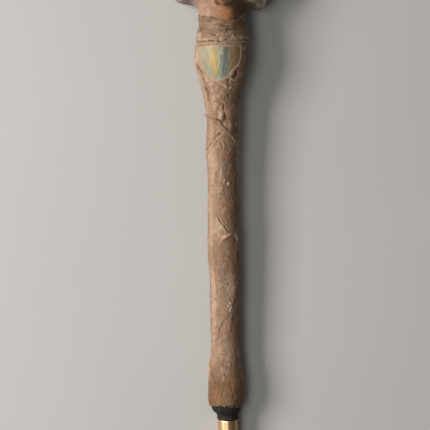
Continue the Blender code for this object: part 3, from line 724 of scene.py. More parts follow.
def inside_inlay(angle, along, radius):
    """How far inside the inlay's outline each place is, in millimetres."""
    down = np.clip((INLAY_TOP - along) / INLAY_HEIGHT, 0, 1)
    beside = (inlay_half_angle(down) - np.abs(angle - INLAY_TURN)) * radius
    return np.minimum(beside, np.minimum(INLAY_TOP - along, along - INLAY_TOP + INLAY_HEIGHT))


def random_folds():
    """Short, slanting folds all round the wrap, as paths with a strength."""
    pick = np.random.RandomState(4)
    for _ in range(RANDOM_FOLDS):
        angle, along = pick.uniform(-math.pi, math.pi), pick.uniform(12, 378)
        turn = pick.choice((-1, 1)) * pick.uniform(0.5, 1.25)
        length = pick.uniform(6, 20)
        bend = pick.uniform(-0.25, 0.25)
        steps = np.array((-0.5, 0.0, 0.5))
        around = angle + (steps * math.cos(turn) * length + bend * 4 * (0.25 - steps**2) * length) / 16
        path = np.stack((around, along + steps * math.sin(turn) * length), axis=-1)
        yield through(path, 6), pick.uniform(0.15, 0.5)


def along_mix(wrap, stations):
    return s_curve(stations, np.clip(wrap.along, 0, WRAP_LENGTH))


def wrap_folds(wrap):
    """The folds and bumps of the wrap, by which its surface stands off the shaft."""
    for thickness, closed, step, groove, points in STRANDS.values():
        ring = list(points)
        if closed:
            ring = [(ring[-1][0] - 360, ring[-1][1]), *ring, (ring[0][0] + 360, ring[0][1])]
        path = through([(math.radians(degrees), share * WRAP_LENGTH) for degrees, share in ring], 8)
        wrap.fold(path, 0.75 * thickness, 1.2 * thickness, step, groove, closed)
    for ridge, width, step, groove, points in FOLDS.values():
        wrap.fold(on_front(through(points, 6)), ridge, width, step, groove)
    for path, strength in random_folds():
        if np.abs(path[:, 0]).min() > PHOTO_TURN:
            wrap.fold(path, 0.8 * strength, 1.0, 0.5 * strength, 0.8 * strength)
    for right, down, size, height in BUMPS:
        wrap.bump(on_front([(right, down)])[0], size, height)
    pick = np.random.RandomState(15)
    for _ in range(RIM_LUMPS):
        place = pick.uniform(-math.pi, math.pi), WRAP_LENGTH * pick.uniform(*RIM_SHARES)
        wrap.bump(place, pick.uniform(0.7, 1.7), pick.choice((-0.9, 0.5, 0.8, 1.0)) * pick.uniform(0.4, 1.0))


def wrap_wrinkles(wrap):
    """The wrap's fine wrinkles, grain, weave and torn layers, added to its folds."""
    solid = wrap.solid
    bent = solid + 2.0 * np.stack([lumps(solid / 8, seed) for seed in (21, 22, 23)], axis=-1)
    wrap.layers = sum(smooth(fractal(bent / (9, 17, 9), 3, seed) - edge, 0, 0.045) for seed, edge in LAYERS)
    level = along_mix(wrap, LEVEL_WRINKLES) * smooth(lumps(solid / 11, 24), -0.9, 0.4)
    upright = along_mix(wrap, UPRIGHT_GRAIN) * smooth(lumps(solid / 12, 25), -0.9, 0.3)
    weave = along_mix(wrap, WEAVE)
    threads = np.sin(math.tau * wrap.along / 2.4 + 1.1 * lumps(solid / 7, 26)) * np.sin(wrap.angle * 42)
    slack = ridged(bent / (6.0, 6.5, 6.0), 3, 31)
    fine = level * (0.5 - ridged(bent / (10.0, 2.6, 10.0), 2, 41))
    fine += upright * ridged(bent / (1.9, 12.0, 1.9), 2, 37)
    fine += weave * threads + 0.11 * fractal(solid / 2.2, 3, 47)
    wrap.relief += 0.28 * fractal(solid / 13, 2, 11) + 0.12 * slack + 0.16 * wrap.layers + fine
    # Painted shade, with some dirt, in the valleys of the fine wrinkles
    wrap.shade_and_dirt = np.maximum(wrap.shade_and_dirt, 0.6 * smooth(-fine, 0.08, 0.42))


def wrap_grid():
    """The angles and places along of the wrap's rows, from one torn edge to the other, finest in front."""
    angle = math.tau * np.arange(SKIN_AROUND) / SKIN_AROUND - math.pi
    angle = angle - FRONT_CROWDING * np.sin(angle)
    straight = np.linspace(0, WRAP_LENGTH, SKIN_ALONG)[:, None]
    ring = round_the_axis(angle, 0.0, 20.0)
    top = s_curve(TOP_EDGE, np.degrees(angle)) - WRAP_LENGTH + 0.9 * fractal(ring / 3.5, 2, 51)
    foot = s_curve(FOOT_EDGE, np.degrees(angle)) + 0.8 * fractal(ring / 3.0, 2, 53)
    near_top, near_foot = np.exp((straight - WRAP_LENGTH) / TOP_FADE), np.exp(-straight / FOOT_FADE)
    along = straight + top * near_top + foot * near_foot
    return np.broadcast_to(angle, along.shape), along


def wrap_radius(wrap):
    """The wrap's outer radius: its relief, a lip round the inlay, and a bed under it."""
    rim = s_curve(TOP_EDGE, np.degrees(wrap.angle))
    over_neck = 0.45 * smooth(rim - wrap.along, 9, 3)
    inset = inside_inlay(wrap.angle, wrap.along, wrap.radius)
    inset = inset + 0.5 * lumps(wrap.solid / 2.6, 57) + 0.3
    lip = 0.40 * smooth(inset, -2.6, -0.2) * smooth(inset, 1.2, 0.3)
    relief = wrap.relief * (1 - smooth(inset, -0.6, 0.6)) + lip + over_neck
    relief = np.where(inset > 1.1, -0.9, relief)
    return above_floor(wrap.angle, wrap.along, wrap.radius + relief)


def wrap_fields(wrap):
    """What the wrap's material needs to know at each place."""
    fields = {
        # Painted shade, with some dirt, in low places, over that of the grooves and pits
        "shade_and_dirt": np.maximum(wrap.shade_and_dirt, 0.7 * smooth(-wrap.relief, 0.50, 1.7)),
        "worn": wrap.worn,
        "along": wrap.along,
        "around": wrap.angle,
        "layer": wrap.layers / len(LAYERS),
        "upright": smooth(along_mix(wrap, UPRIGHT_GRAIN), 0.04, 0.15),
    }
    front = smooth(np.cos(wrap.angle), -0.1, 0.35)
    for seed, (name, places) in enumerate(STAINS.items()):
        elsewhere = 0.75 * smooth(fractal(wrap.solid / (8, 13, 8), 3, 120 + seed), 0.30, 0.95)
        fields[name] = np.maximum(wrap.patches(places), elsewhere * (1 - 0.55 * front))
    return fields


def wrapped_skin(material):
    """The whole wrap: its surface, its two torn edges, and the ends that close it inside the other pieces."""
    angle, along = wrap_grid()
    wrap = Wrap(angle, along)
    wrap_folds(wrap)
    wrap_wrinkles(wrap)
    radius = wrap_radius(wrap)
    outside = round_the_axis(angle, along, radius, sway(np.clip(along, 0, WRAP_LENGTH)))
    under_foot = round_the_axis(angle[0], along[0] + 0.5, radius[0] - 1.2)
    foot_end = round_the_axis(angle[0], 4.0, 0.6 * radius[0])
    under_top = round_the_axis(angle[-1], along[-1] - 0.3, radius[-1] - 0.9)
    top_end = round_the_axis(angle[-1], NECK_END + 1, NECK_RADIUS - 2.0)
    points = np.stack((foot_end, under_foot, *outside, under_top, top_end))
    ends = ((2, 2), (0, 0))
    fields = {name: np.pad(values, ends, mode="edge") for name, values in wrap_fields(wrap).items()}
    return rod("wrapped_shaft", points, material, fields)


def skin_surface(places):
    """Points on the wrap's own relief, from (angle, along) places."""
    angle, along = (np.array(column)[:, None] for column in zip(*places))
    order = np.argsort(along[:, 0])
    wrap = Wrap(angle[order], along[order])
    for ridge, width, step, groove, points in FOLDS.values():
        path = on_front(through(points, 6))
        low, high = path[:, 1].min() - FOLD_REACH, path[:, 1].max() + FOLD_REACH
        if wrap.along.min() < high and wrap.along.max() > low:
            wrap.fold(path, ridge, width, step, groove)
    radius = np.empty(len(order))
    radius[order] = (wrap.radius + np.maximum(wrap.relief, 0) + 0.15)[:, 0]
    return radius


def tubes(name, runs, sides, material):
    """One piece of many thin tubes. Each run is (points, radii), in the sceptre's own frame."""
    corners, faces = [], []
    for points, radii in runs:
        ahead = np.gradient(points, axis=0)
        ahead /= np.linalg.norm(ahead, axis=1, keepdims=True) + 1e-9
        out = points * (1, 0, 1)
        side = np.cross(ahead, out)
        side /= np.linalg.norm(side, axis=1, keepdims=True) + 1e-9
        out = np.cross(side, ahead)
        turn = math.tau * np.arange(sides) / sides
        ring = side[:, None] * np.cos(turn)[:, None] + out[:, None] * np.sin(turn)[:, None]
        faces += tube_faces(sum(map(len, corners)) + np.arange(len(points) * sides).reshape(-1, sides))
        corners.append((points[:, None] + ring * np.array(radii)[:, None, None]).reshape(-1, 3))
    piece = add_mesh(name, placed(np.vstack(corners)), faces, material)
    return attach(piece, "root")


def laid_threads(material):
    """The pale threads that frame the inlay and cross the wrap."""
    runs = []
    for seed, (thick, points) in enumerate(THREADS.values()):
        places = on_front(through(points, 7))
        radius = skin_surface(places)
        line = round_the_axis(places[:, 0], places[:, 1], radius, sway(places[:, 1]))
        kernel = np.array((0.25, 0.5, 0.25))
        line[1:-1] = np.stack([np.convolve(column, kernel, "valid") for column in line.T], axis=-1)
        wavy = 1 + 0.3 * lumps(line / 1.9, 61 + seed)
        ends = np.sin(np.linspace(0.25, math.pi - 0.25, len(line))) ** 0.3
        runs.append((line, thick * wavy * ends))
    return tubes("laid_threads", runs, 6, material)


def fibre(pick, angle, along, length, heading, lift):
    """A fine, bent fibre that starts on the wrap, as a line and its radii. The heading is up at 0."""
    step = np.linspace(0, 1, 6)
    course = heading + pick.normal(0, 0.9) * step
    around = angle + np.cumsum(np.sin(course)) * length / 6 / 18
    up = along + np.cumsum(np.cos(course)) * length / 6
    radius = shaft_radius(around, up) + 0.15 + lift * np.sin(step * 2.4)
    radius = radius + 0.7 * smooth(up, 378, 384)
    radius = above_floor(around, up, radius + 0.2) - 0.2
    return round_the_axis(around, up, radius, sway(np.clip(up, 0, WRAP_LENGTH))), np.linspace(0.13, 0.05, 6)


def frayed_fibres(material):
    """Fine fibres that stand off the wrap's torn edges and frills, and some that lie loose round its back."""
    pick = np.random.RandomState(8)
    runs = []
    for name, edge, inward, outward in (("top", TOP_EDGE, -1.0, 0.0), ("foot", FOOT_EDGE, 1.0, math.pi)):
        for _ in range(FIBRES[name]):
            angle = pick.uniform(-math.pi, math.pi)
            along = s_curve(edge, math.degrees(angle)) + inward * pick.uniform(0.2, 1.6)
            runs.append(fibre(pick, angle, along, pick.uniform(1.4, 3.6), outward + pick.normal(0, 0.8), 0.5))
    for _ in range(FIBRES["rim"]):
        angle, share = pick.uniform(-math.pi, math.pi), pick.uniform(0.925, 0.952)
        length, heading = pick.uniform(2, 4), pick.uniform(0, math.tau)
        runs.append(fibre(pick, angle, share * WRAP_LENGTH, length, heading, 1.0))
    for _ in range(FIBRES["back"]):
        angle, along = pick.uniform(1.25, math.tau - 1.25), pick.uniform(8, 380)
        runs.append(fibre(pick, angle, along, pick.uniform(3, 7), pick.normal(0, 1.0), 0.7))
    for name in ("frill", "crumple_a", "flap_tip"):
        path = FOLDS[name][-1]
        for right, down in through(path, 8)[pick.randint(0, 8 * (len(path) - 1), FIBRES[name])]:
            angle, along = on_front([(right, down)])[0]
            length, heading = pick.uniform(1.5, 4.0), math.pi / 2 + pick.normal(0, 0.7)
            runs.append(fibre(pick, angle, along, length, heading, 1.6))
    return tubes("frayed_fibres", runs, 3, material)


def plate_faces(rows, columns):
    """The faces of a plate: an upper sheet of rows by columns, a lower one like it, and walls between."""
    upper = np.arange(rows * columns).reshape(rows, columns)
    sheet = np.stack((upper[:-1, :-1], upper[:-1, 1:], upper[1:, 1:], upper[1:, :-1]), axis=-1).reshape(-1, 4)
    border = np.concatenate((upper[0, :-1], upper[:-1, -1], upper[-1, :0:-1], upper[:0:-1, 0]))
    lower = border + rows * columns
    walls = np.stack((border, lower, np.roll(lower, -1), np.roll(border, -1)), axis=-1)
    return np.vstack((sheet[:, ::-1], sheet + rows * columns, walls)).tolist()


def shell_plate(material):
    """The inlay: a curved shield whose surface fans out from its tip in shallow flutes."""
    rows, columns = SHELL_GRID
    down = SHELL_TIP * np.sin(np.linspace(0, math.pi / 2, rows))[:, None]
    along = np.broadcast_to(INLAY_TOP - INLAY_HEIGHT * down, SHELL_GRID)
    angle = INLAY_TURN + inlay_half_angle(down) * np.linspace(-1, 1, columns)
    base = shaft_radius(angle, along)
    above_tip = along - INLAY_TOP + INLAY_HEIGHT
    fan = (angle - INLAY_TURN) * base / (above_tip + 6.0)
    solid = round_the_axis(angle, along, base)
    flutes = 0.07 * np.sin(fan * 34 + 1.5 * lumps(solid / 6, 71)) + 0.12 * fractal(solid / 3.5, 3, 73)
    inset = np.maximum(inside_inlay(angle, along, base), 0)
    outer = base + 0.12 + flutes * smooth(inset, 0, 2.0)
    top = round_the_axis(angle, along, outer, sway(along))
    under = round_the_axis(angle, along, base - INLAY_THICKNESS, sway(along))
    plate = Wrap(angle, along)
    areas = {name: plate.patches(places, 0.55) for name, places in SHELL_AREAS.items()}
    fields = {key: np.stack((values, values)) for key, values in {"inset": inset, **areas}.items()}
    points = placed(np.stack((top, under)))
    piece = add_mesh("visual_shell_inlay", points, plate_faces(rows, columns), material, fields, 50)
    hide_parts("shell_inlay")
    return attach(piece, "root")


def lobe_gap(place, centre, half, squareness):
    parts = np.abs((place - centre) / half)
    return ((parts**squareness).sum(axis=-1) ** (1 / squareness) - 1) * min(half)


def head_gaps(points):
    """How far points are outside the whole head, and outside each lobe, in shares of its height."""
    place = (points - (0, HEAD_MIDDLE, 0)) / HEAD_HEIGHT
    neck = np.hypot(place[..., 0], place[..., 2]) - NECK_RADIUS / HEAD_HEIGHT + np.maximum(0, place[..., 1])
    whole, single = neck, {"neck": neck}
    for name, (centre, half, squareness) in HEAD_LOBES.items():
        other = lobe_gap(place, np.array(centre), np.array(half), squareness)
        blend = np.maximum(HEAD_BLEND - np.abs(whole - other), 0) / HEAD_BLEND
        whole = np.minimum(whole, other) - blend * blend * HEAD_BLEND / 4
        single[name] = other
    return whole, single


def head_rays(angle):
    """Where rays from the head's middle leave its lobes, and the rays' directions."""
    middle = np.array((0, HEAD_MIDDLE, 0))
    lowest = math.atan2(NECK_RADIUS, HEAD_MIDDLE - WRAP_LENGTH)
    polar = lowest + (math.pi - lowest) * np.linspace(0, 1, HEAD_ALONG, endpoint=False)[:, None]
    out = np.sin(polar)
    ray = np.stack(np.broadcast_arrays(out * np.sin(angle), -np.cos(polar), out * np.cos(angle)), axis=-1)
    low = np.zeros(ray.shape[:2])
    high = np.full(ray.shape[:2], HEAD_HEIGHT)
    for _ in range(24):
        half = (low + high) / 2
        inside = head_gaps(middle + ray * half[..., None])[0] < 0
        low, high = np.where(inside, half, low), np.where(inside, high, half)
    return middle + ray * low[..., None], ray


def head_masks(points, gaps):
    """How far each place belongs to the neck and to the lobes that look different, from 0 to 1."""
    masks = {}
    for name in ("left", "right", "front", "neck"):
        others = np.min([gap for key, gap in gaps.items() if key != name], axis=0)
        masks[name] = smooth(others - gaps[name], -0.02, 0.05)
    masks["neck"] = np.maximum(masks["neck"], smooth(points[..., 1], WRAP_LENGTH + 22, WRAP_LENGTH + 10))
    return masks


def boss_groove(points, gaps):
    """The groove that runs round the front boss, from 0 to 1."""
    border = gaps["front"] - np.min([gaps["body"], gaps["neck"]], axis=0)
    border = border - 0.012 + 0.012 * fractal(points / 5, 2, 80)
    groove = np.exp(-((border / 0.028) ** 2)) * (points[..., 2] > 5)
    return groove * np.clip(0.75 + 0.5 * lumps(points / 5, 82), 0, 1)


def head_relief(points, masks, crust, cracks, groove):
    """How far the head's crust, worn steps, grain and cracks stand off its lobes."""
    steps = np.floor(4 * (0.5 + 0.5 * lumps(points / 11, 89)) + 0.5) / 4
    relief = 0.9 * fractal(points / 15, 3, 83)
    relief += masks["right"] * (1.5 * crust + 0.35 * fractal(points / 1.9, 2, 91) - 0.4)
    relief += masks["left"] * (0.35 * steps + 0.15 * fractal(points / 3, 3, 93))
    relief += (1 - masks["neck"]) * (0.12 * ridged(points / (2.2, 9, 2.2), 2, 95) - 0.8 * cracks)
    relief -= 1.3 * groove
    return relief * smooth(points[..., 1], WRAP_LENGTH + 1, WRAP_LENGTH + 14)


def neck_under_wrap(angle):
    """The rings by which the neck runs on down under the wrap's torn edge."""
    along = np.arange(NECK_END, WRAP_LENGTH - 0.4, 0.8)[:, None]
    neck = round_the_axis(angle, along, NECK_RADIUS - 0.5 * smooth(along, NECK_END + 10, NECK_END + 6))
    uneven = 0.25 * fractal(neck / 4, 3, 97) * smooth(along, NECK_END + 2, NECK_END + 4)
    return neck + uneven[..., None] * np.stack((np.sin(angle), 0 * angle, np.cos(angle)), axis=-1)


def rim_shade(points, angle, above_rim):
    """How dark the neck is just above the wrap's torn edge."""
    above_rim = above_rim + 0.7 * lumps(points / 5, 98)
    torn = smooth(np.sin(angle + 0.95), 0.75, 1.0)
    shade = smooth(above_rim, 2.0, 0.6) * (0.35 + 0.65 * torn) * smooth(lumps(points / 6, 99), -0.9, 0.1)
    front = smooth(np.abs(angle - 0.25), 0.5, 0.2)
    return np.maximum(shade, 0.55 * smooth(above_rim, 3.4, 0.4) * front)


def head_piece(material):
    """The lobed head: rays from its middle find the lobes' surface, and the neck runs on into the wrap."""
    angle = math.tau * np.arange(HEAD_AROUND) / HEAD_AROUND - math.pi
    points, ray = head_rays(angle)
    gaps = head_gaps(points)[1]
    masks = head_masks(points, gaps)
    groove = boss_groove(points, gaps)
    crust = smooth(fractal(points / 5.0, 3, 81), -0.35, 0.75)
    cracks = smooth(ridged(points / (9, 14, 9) + 0.4 * lumps(points / 4, 85)[..., None], 2, 87), 1.05, 1.4)
    points = points + ray * head_relief(points, masks, crust, cracks, groove)[..., None]
    floor = -(FOOT_REST_DEPTH + FLOOR_SLOPE * (points[..., 1] - FOOT_REST))
    points[..., 2] = np.maximum(points[..., 2], floor)

    neck = neck_under_wrap(angle)
    points = np.concatenate((neck, points))
    above_rim = points[..., 1] - s_curve(TOP_EDGE, np.degrees(angle))
    drawn_in = (1 - 0.6 / NECK_RADIUS * smooth(above_rim, 0.6, -1.0))[..., None]
    points = points * np.concatenate((drawn_in, np.ones_like(drawn_in), drawn_in), axis=-1)
    # Painted shade, with some dirt, in the groove round the boss and in the cracks
    fields = {**masks, "crust": crust, "shade_and_dirt": np.maximum(groove, cracks * (1 - masks["neck"]))}
    fields = {name: np.pad(values, ((len(neck), 0), (0, 0)), mode="edge") for name, values in fields.items()}
    # Painted shadow that the wrap's torn edge casts on the neck above it
    fields["shade_and_dirt"] = np.maximum(fields["shade_and_dirt"], 0.85 * rim_shade(points, angle, above_rim))
    # The angle round, by which the finish paints shade on the neck's right side
    fields["around"] = angle
    return rod("head", points, material, fields)


def collar_piece(material):
    """The dark collar: it runs up under the wrap's ragged edge, draws in, and ends in a low lip."""
    angle = math.tau * np.arange(ROUND_SIDES) / ROUND_SIDES
    under_wrap = FOOT_RADIUS - FOOT_TUCK - COLLAR_STEP
    waist = FERRULE_RADIUS + COLLAR_LIP / 4
    profile = (
        (-0.60, FOOT_RADIUS - 1.2),
        (-0.25, FOOT_RADIUS - 1.7),
        (0.02, under_wrap + 0.2),
        (0.70, waist),
        (0.80, waist),
        (0.90, FERRULE_RADIUS + COLLAR_LIP),
        (1.00, FERRULE_RADIUS + COLLAR_LIP / 2),
    )
    share = np.linspace(1, -0.6, 74)[:, None]
    radius = s_curve(profile, share) + 0 * angle
    along = -COLLAR_LENGTH * share + 0 * angle
    solid = round_the_axis(angle, along, radius)
    fade = smooth(share, 1.0, 0.9) * (0.4 + 0.6 * smooth(share, -0.3, 0.0))
    tufts = 0.22 * ridged(solid / (2.6, 6.0, 2.6), 2, 101) + 0.3 * fractal(solid / 3.2, 3, 103)
    radius = np.minimum(above_floor(angle, along, radius + fade * tufts), FOOT_RADIUS - 1.0)
    points = round_the_axis(angle, along, radius)
    points[..., 0] += FERRULE_OFFSET * np.maximum(share, 0)
    return rod("butt_collar", points, material, {"lift": fade * tufts})


def ferrule_piece(material):
    """The brass end: a turned rod with a bevelled tip, slightly worn and dented here and there. Its angle
    round goes to the finish, which paints shade on its right side.
    """
    angle = math.tau * np.arange(ROUND_SIDES) / ROUND_SIDES
    top = -COLLAR_LENGTH - JOINT_GAP
    flat, low = FERRULE_RADIUS - FERRULE_BEVEL, FERRULE_BEVEL - FERRULE_LENGTH
    bevel = [
        (flat + FERRULE_BEVEL * math.sin(turn), low - FERRULE_BEVEL * math.cos(turn))
        for turn in np.linspace(0, math.pi / 2, 6)
    ]
    body = [(FERRULE_RADIUS, y) for y in np.linspace(low + 1, -0.4, 40)]
    rings = [(0.5 * FERRULE_RADIUS, -FERRULE_LENGTH), *bevel, *body, (FERRULE_RADIUS - 0.3, 0.0)]
    radius, along = (np.array(column)[:, None] for column in zip(*rings))
    solid = round_the_axis(angle, along, radius)
    dents = 0.05 * lumps(solid / 7, 111) * smooth(along, -FERRULE_LENGTH, -FERRULE_LENGTH + 3)
    points = round_the_axis(angle, along + top, radius + dents, FERRULE_OFFSET)
    return rod("brass_ferrule", points, material, {"around": turned(angle)})


def node(tree, kind, inputs=None, **settings):
    """A shader node; an input is a value, or the output that feeds it."""
    made = tree.nodes.new("ShaderNode" + kind)
    for name, value in settings.items():
        setattr(made, name, value)
    for name, value in (inputs or {}).items():
        if isinstance(value, bpy.types.NodeSocket):
            tree.links.new(value, made.inputs[name])
        else:
            made.inputs[name].default_value = value
    return made


def maths(tree, operation, first, second=0.0, third=0.0):
    return node(tree, "Math", {0: first, 1: second, 2: third}, operation=operation).outputs[0]


def mark(tree, name):
    return node(tree, "Attribute", attribute_name=name).outputs["Fac"]


def pattern(tree, scale, detail=4.0, stretch=(1, 1, 1), rough=0.6, bend=0.0):
    """Noise with this many lumps to the millimetre along each axis, before the stretch."""
    where = node(tree, "TexCoord").outputs["Object"]
    sized = node(tree, "Mapping", {"Vector": where, "Scale": [1000 * scale / k for k in stretch]})
    made = node(
        tree, "TexNoise",
        {"Vector": sized.outputs[0], "Scale": 1.0, "Detail": detail, "Roughness": rough, "Distortion": bend},
    )
    return made.outputs["Fac"]


def between(tree, value, low, high, to_low=0.0, to_high=1.0):
    inputs = {"Value": value, "From Min": low, "From Max": high, "To Min": to_low, "To Max": to_high}
    return node(tree, "MapRange", inputs, interpolation_type="SMOOTHSTEP").outputs[0]


def mixed(tree, factor, first, second, blend_type="MIX"):
    made = tree.nodes.new("ShaderNodeMix")
    made.data_type = "RGBA"
    made.blend_type = blend_type
    for index, value in ((0, factor), (6, first), (7, second)):
        if isinstance(value, bpy.types.NodeSocket):
            tree.links.new(value, made.inputs[index])
        else:
            made.inputs[index].default_value = (*value, 1.0) if index else value
    return made.outputs[2]


def tinted(tree, colour, mask, low, high, most, tone):
    """A colour that turns into a tone, at most by this share, as a mask goes from low to high."""
    return mixed(tree, between(tree, mask, low, high, 0.0, most), colour, tone)


def ramp(tree, value, stops):
    made = node(tree, "ValToRGB", {"Fac": value})
    band = made.color_ramp
    while len(band.elements) < len(stops):
        band.elements.new(1.0)
    for element, (place, colour) in zip(band.elements, stops):
        element.position = place
        element.color = (*colour, 1.0)
    return made.outputs["Color"]


def bumped(tree, height, distance, strength=1.0, normal=None):
    inputs = {"Height": height, "Distance": distance * MM, "Strength": strength}
    if normal is not None:
        inputs["Normal"] = normal
    return node(tree, "Bump", inputs).outputs["Normal"]


def finish(name, build):
    """A material whose Principled shader gets the sockets that build(tree) returns."""
    made = bpy.data.materials.new(name)
    made.use_nodes = True
    tree = made.node_tree
    shader = tree.nodes["Principled BSDF"]
    for socket, value in build(tree).items():
        if isinstance(value, bpy.types.NodeSocket):
            tree.links.new(value, shader.inputs[socket])
        else:
            shader.inputs[socket].default_value = value
    return made


def skin_tone(tree, broad, blotch, along):
    """The skin's tones: painted light on its left and painted shade on its right, and darker at its foot and
    near the head.
    """
    # Painted light and shade: the lit tones on the left turn into the shaded ones towards the right
    side = between(tree, mark(tree, "around"), -0.5, 0.9)
    colour = mixed(tree, side, ramp(tree, broad, LIT_SKIN), ramp(tree, broad, SHADED_SKIN))
    # Painted shade: the far right side turns darker still, with a ragged border
    ragged = maths(tree, "ADD", mark(tree, "around"), between(tree, blotch, 0.3, 0.7, -0.3, 0.3))
    colour = tinted(tree, colour, ragged, 0.6, 1.2, 0.65, (0.140, 0.075, 0.042))
    foot = mixed(tree, broad, (0.092, 0.042, 0.013), (0.222, 0.115, 0.042))
    colour = tinted(tree, colour, along, 62.0, 16.0, 0.9, foot)
    band = mixed(tree, broad, (0.092, 0.050, 0.027), (0.258, 0.158, 0.100))
    return tinted(tree, colour, along, 368.0, 375.0, 0.7, band)


def skin_finish(tree):
    broad = pattern(tree, 0.055, 5.0, (1, 1.8, 1), 0.62, 0.6)
    blotch = pattern(tree, 0.17, 4.0, (1, 1.4, 1), 0.62, 0.8)
    level_grain = pattern(tree, 0.8, 3.0, (2.0, 0.8, 2.0), 0.7, 0.5)
    upright_grain = pattern(tree, 0.95, 3.0, (0.8, 4.5, 0.8), 0.7)
    grain = between(tree, mark(tree, "upright"), 0.0, 1.0, level_grain, upright_grain)
    speck = pattern(tree, 1.3, 3.0)
    along = mark(tree, "along")
    colour = skin_tone(tree, broad, blotch, along)
    under_layer = between(tree, mark(tree, "layer"), 0.15, 0.9, 0.30, 0.0)
    colour = mixed(tree, under_layer, colour, (0.200, 0.110, 0.062))
    colour = tinted(tree, colour, blotch, 0.50, 0.68, 0.55, (0.250, 0.140, 0.080))
    colour = tinted(tree, colour, blotch, 0.44, 0.30, 0.45, (0.560, 0.390, 0.265))
    for name, (most, stain) in STAIN_TONES.items():
        colour = mixed(tree, maths(tree, "MULTIPLY", mark(tree, name), most), colour, stain)
    colour = tinted(tree, colour, grain, 0.58, 0.36, 0.50, (0.135, 0.075, 0.042))
    grooves = between(tree, upright_grain, 0.50, 0.36, 0.0, 0.75)
    woven = maths(tree, "MULTIPLY", between(tree, along, 40.0, 14.0), grooves)
    colour = mixed(tree, woven, colour, (0.085, 0.040, 0.016))
    colour = tinted(tree, colour, speck, 0.60, 0.72, 0.55, (0.600, 0.450, 0.315))
    colour = tinted(tree, colour, speck, 0.40, 0.28, 0.60, (0.110, 0.060, 0.033))
    colour = mixed(tree, maths(tree, "MULTIPLY", mark(tree, "worn"), 0.38), colour, (0.560, 0.400, 0.285))
    # Painted shade, with some dirt, in the wrap's grooves, pits and low places
    colour = tinted(tree, colour, mark(tree, "shade_and_dirt"), 0.12, 0.85, 0.95, (0.045, 0.022, 0.013))
    normal = bumped(tree, grain, 0.55, 0.8)
    normal = bumped(tree, speck, 0.40, 0.8, normal)
    return {
        "Base Color": colour,
        "Roughness": between(tree, blotch, 0.3, 0.7, 0.68, 0.92),
        "Normal": normal,
        "Specular IOR Level": 0.3,
    }


def thread_finish(tree):
    tone = pattern(tree, 0.5, 3.0)
    colour = mixed(tree, between(tree, tone, 0.35, 0.65), (0.360, 0.235, 0.145), (0.640, 0.500, 0.360))
    return {
        "Base Color": colour,
        "Roughness": between(tree, tone, 0.3, 0.7, 0.7, 0.9),
        "Normal": bumped(tree, pattern(tree, 2.5, 2.0), 0.1, 0.5),
    }


def shell_finish(tree):
    """Worn shell: areas of colour that fan out from the shield's tip, flecked and scratched."""
    fine = pattern(tree, 0.9, 4.0, (1, 2.4, 1), 0.65)
    fleck = pattern(tree, 0.42, 4.0, (1, 1.5, 1), 0.7, 0.6)
    colour = mixed(tree, between(tree, fleck, 0.35, 0.65), (0.262, 0.205, 0.125), (0.350, 0.280, 0.180))
    for name, tone in SHELL_TONES.items():
        other = mixed(tree, fleck, tone, [min(1.0, 1.35 * value + 0.03) for value in tone])
        strength = maths(tree, "ADD", mark(tree, name), between(tree, fleck, 0.3, 0.7, -0.35, 0.35))
        colour = mixed(tree, between(tree, strength, 0.05, 1.05), colour, other)
    colour = tinted(tree, colour, fine, 0.60, 0.38, 0.5, (0.200, 0.150, 0.085))
    colour = tinted(tree, colour, fine, 0.60, 0.72, 0.4, (0.500, 0.440, 0.310))
    edge = between(tree, mark(tree, "inset"), 0.0, 3.4, 0.95, 0.0)
    edge = maths(tree, "MULTIPLY", edge, between(tree, fleck, 0.20, 0.50))
    colour = mixed(tree, edge, colour, (0.375, 0.252, 0.170))
    return {
        "Base Color": colour,
        "Roughness": between(tree, fine, 0.35, 0.65, 0.42, 0.7),
        "Normal": bumped(tree, fine, 0.35, 0.7),
        "Coat Weight": 0.08,
        "Coat Roughness": 0.25,
    }


def neck_tone(tree, broad):
    """Clay on the neck's left, orange on its front and painted shade on its right, with ragged borders."""
    ragged = maths(tree, "MULTIPLY_ADD", pattern(tree, 0.25, 4.0, (1, 1, 1), 0.65), 0.9, -0.45)
    turn = maths(tree, "ADD", mark(tree, "around"), ragged)
    clay = mixed(tree, between(tree, broad, 0.35, 0.65), (0.270, 0.150, 0.090), (0.420, 0.270, 0.185))
    orange = mixed(tree, broad, (0.270, 0.115, 0.045), (0.500, 0.230, 0.100))
    neck = mixed(tree, between(tree, turn, -0.55, 0.05), clay, orange)
    # Painted shade on the neck's right side
    return tinted(tree, neck, turn, 0.20, 0.56, 0.93, (0.075, 0.036, 0.018))


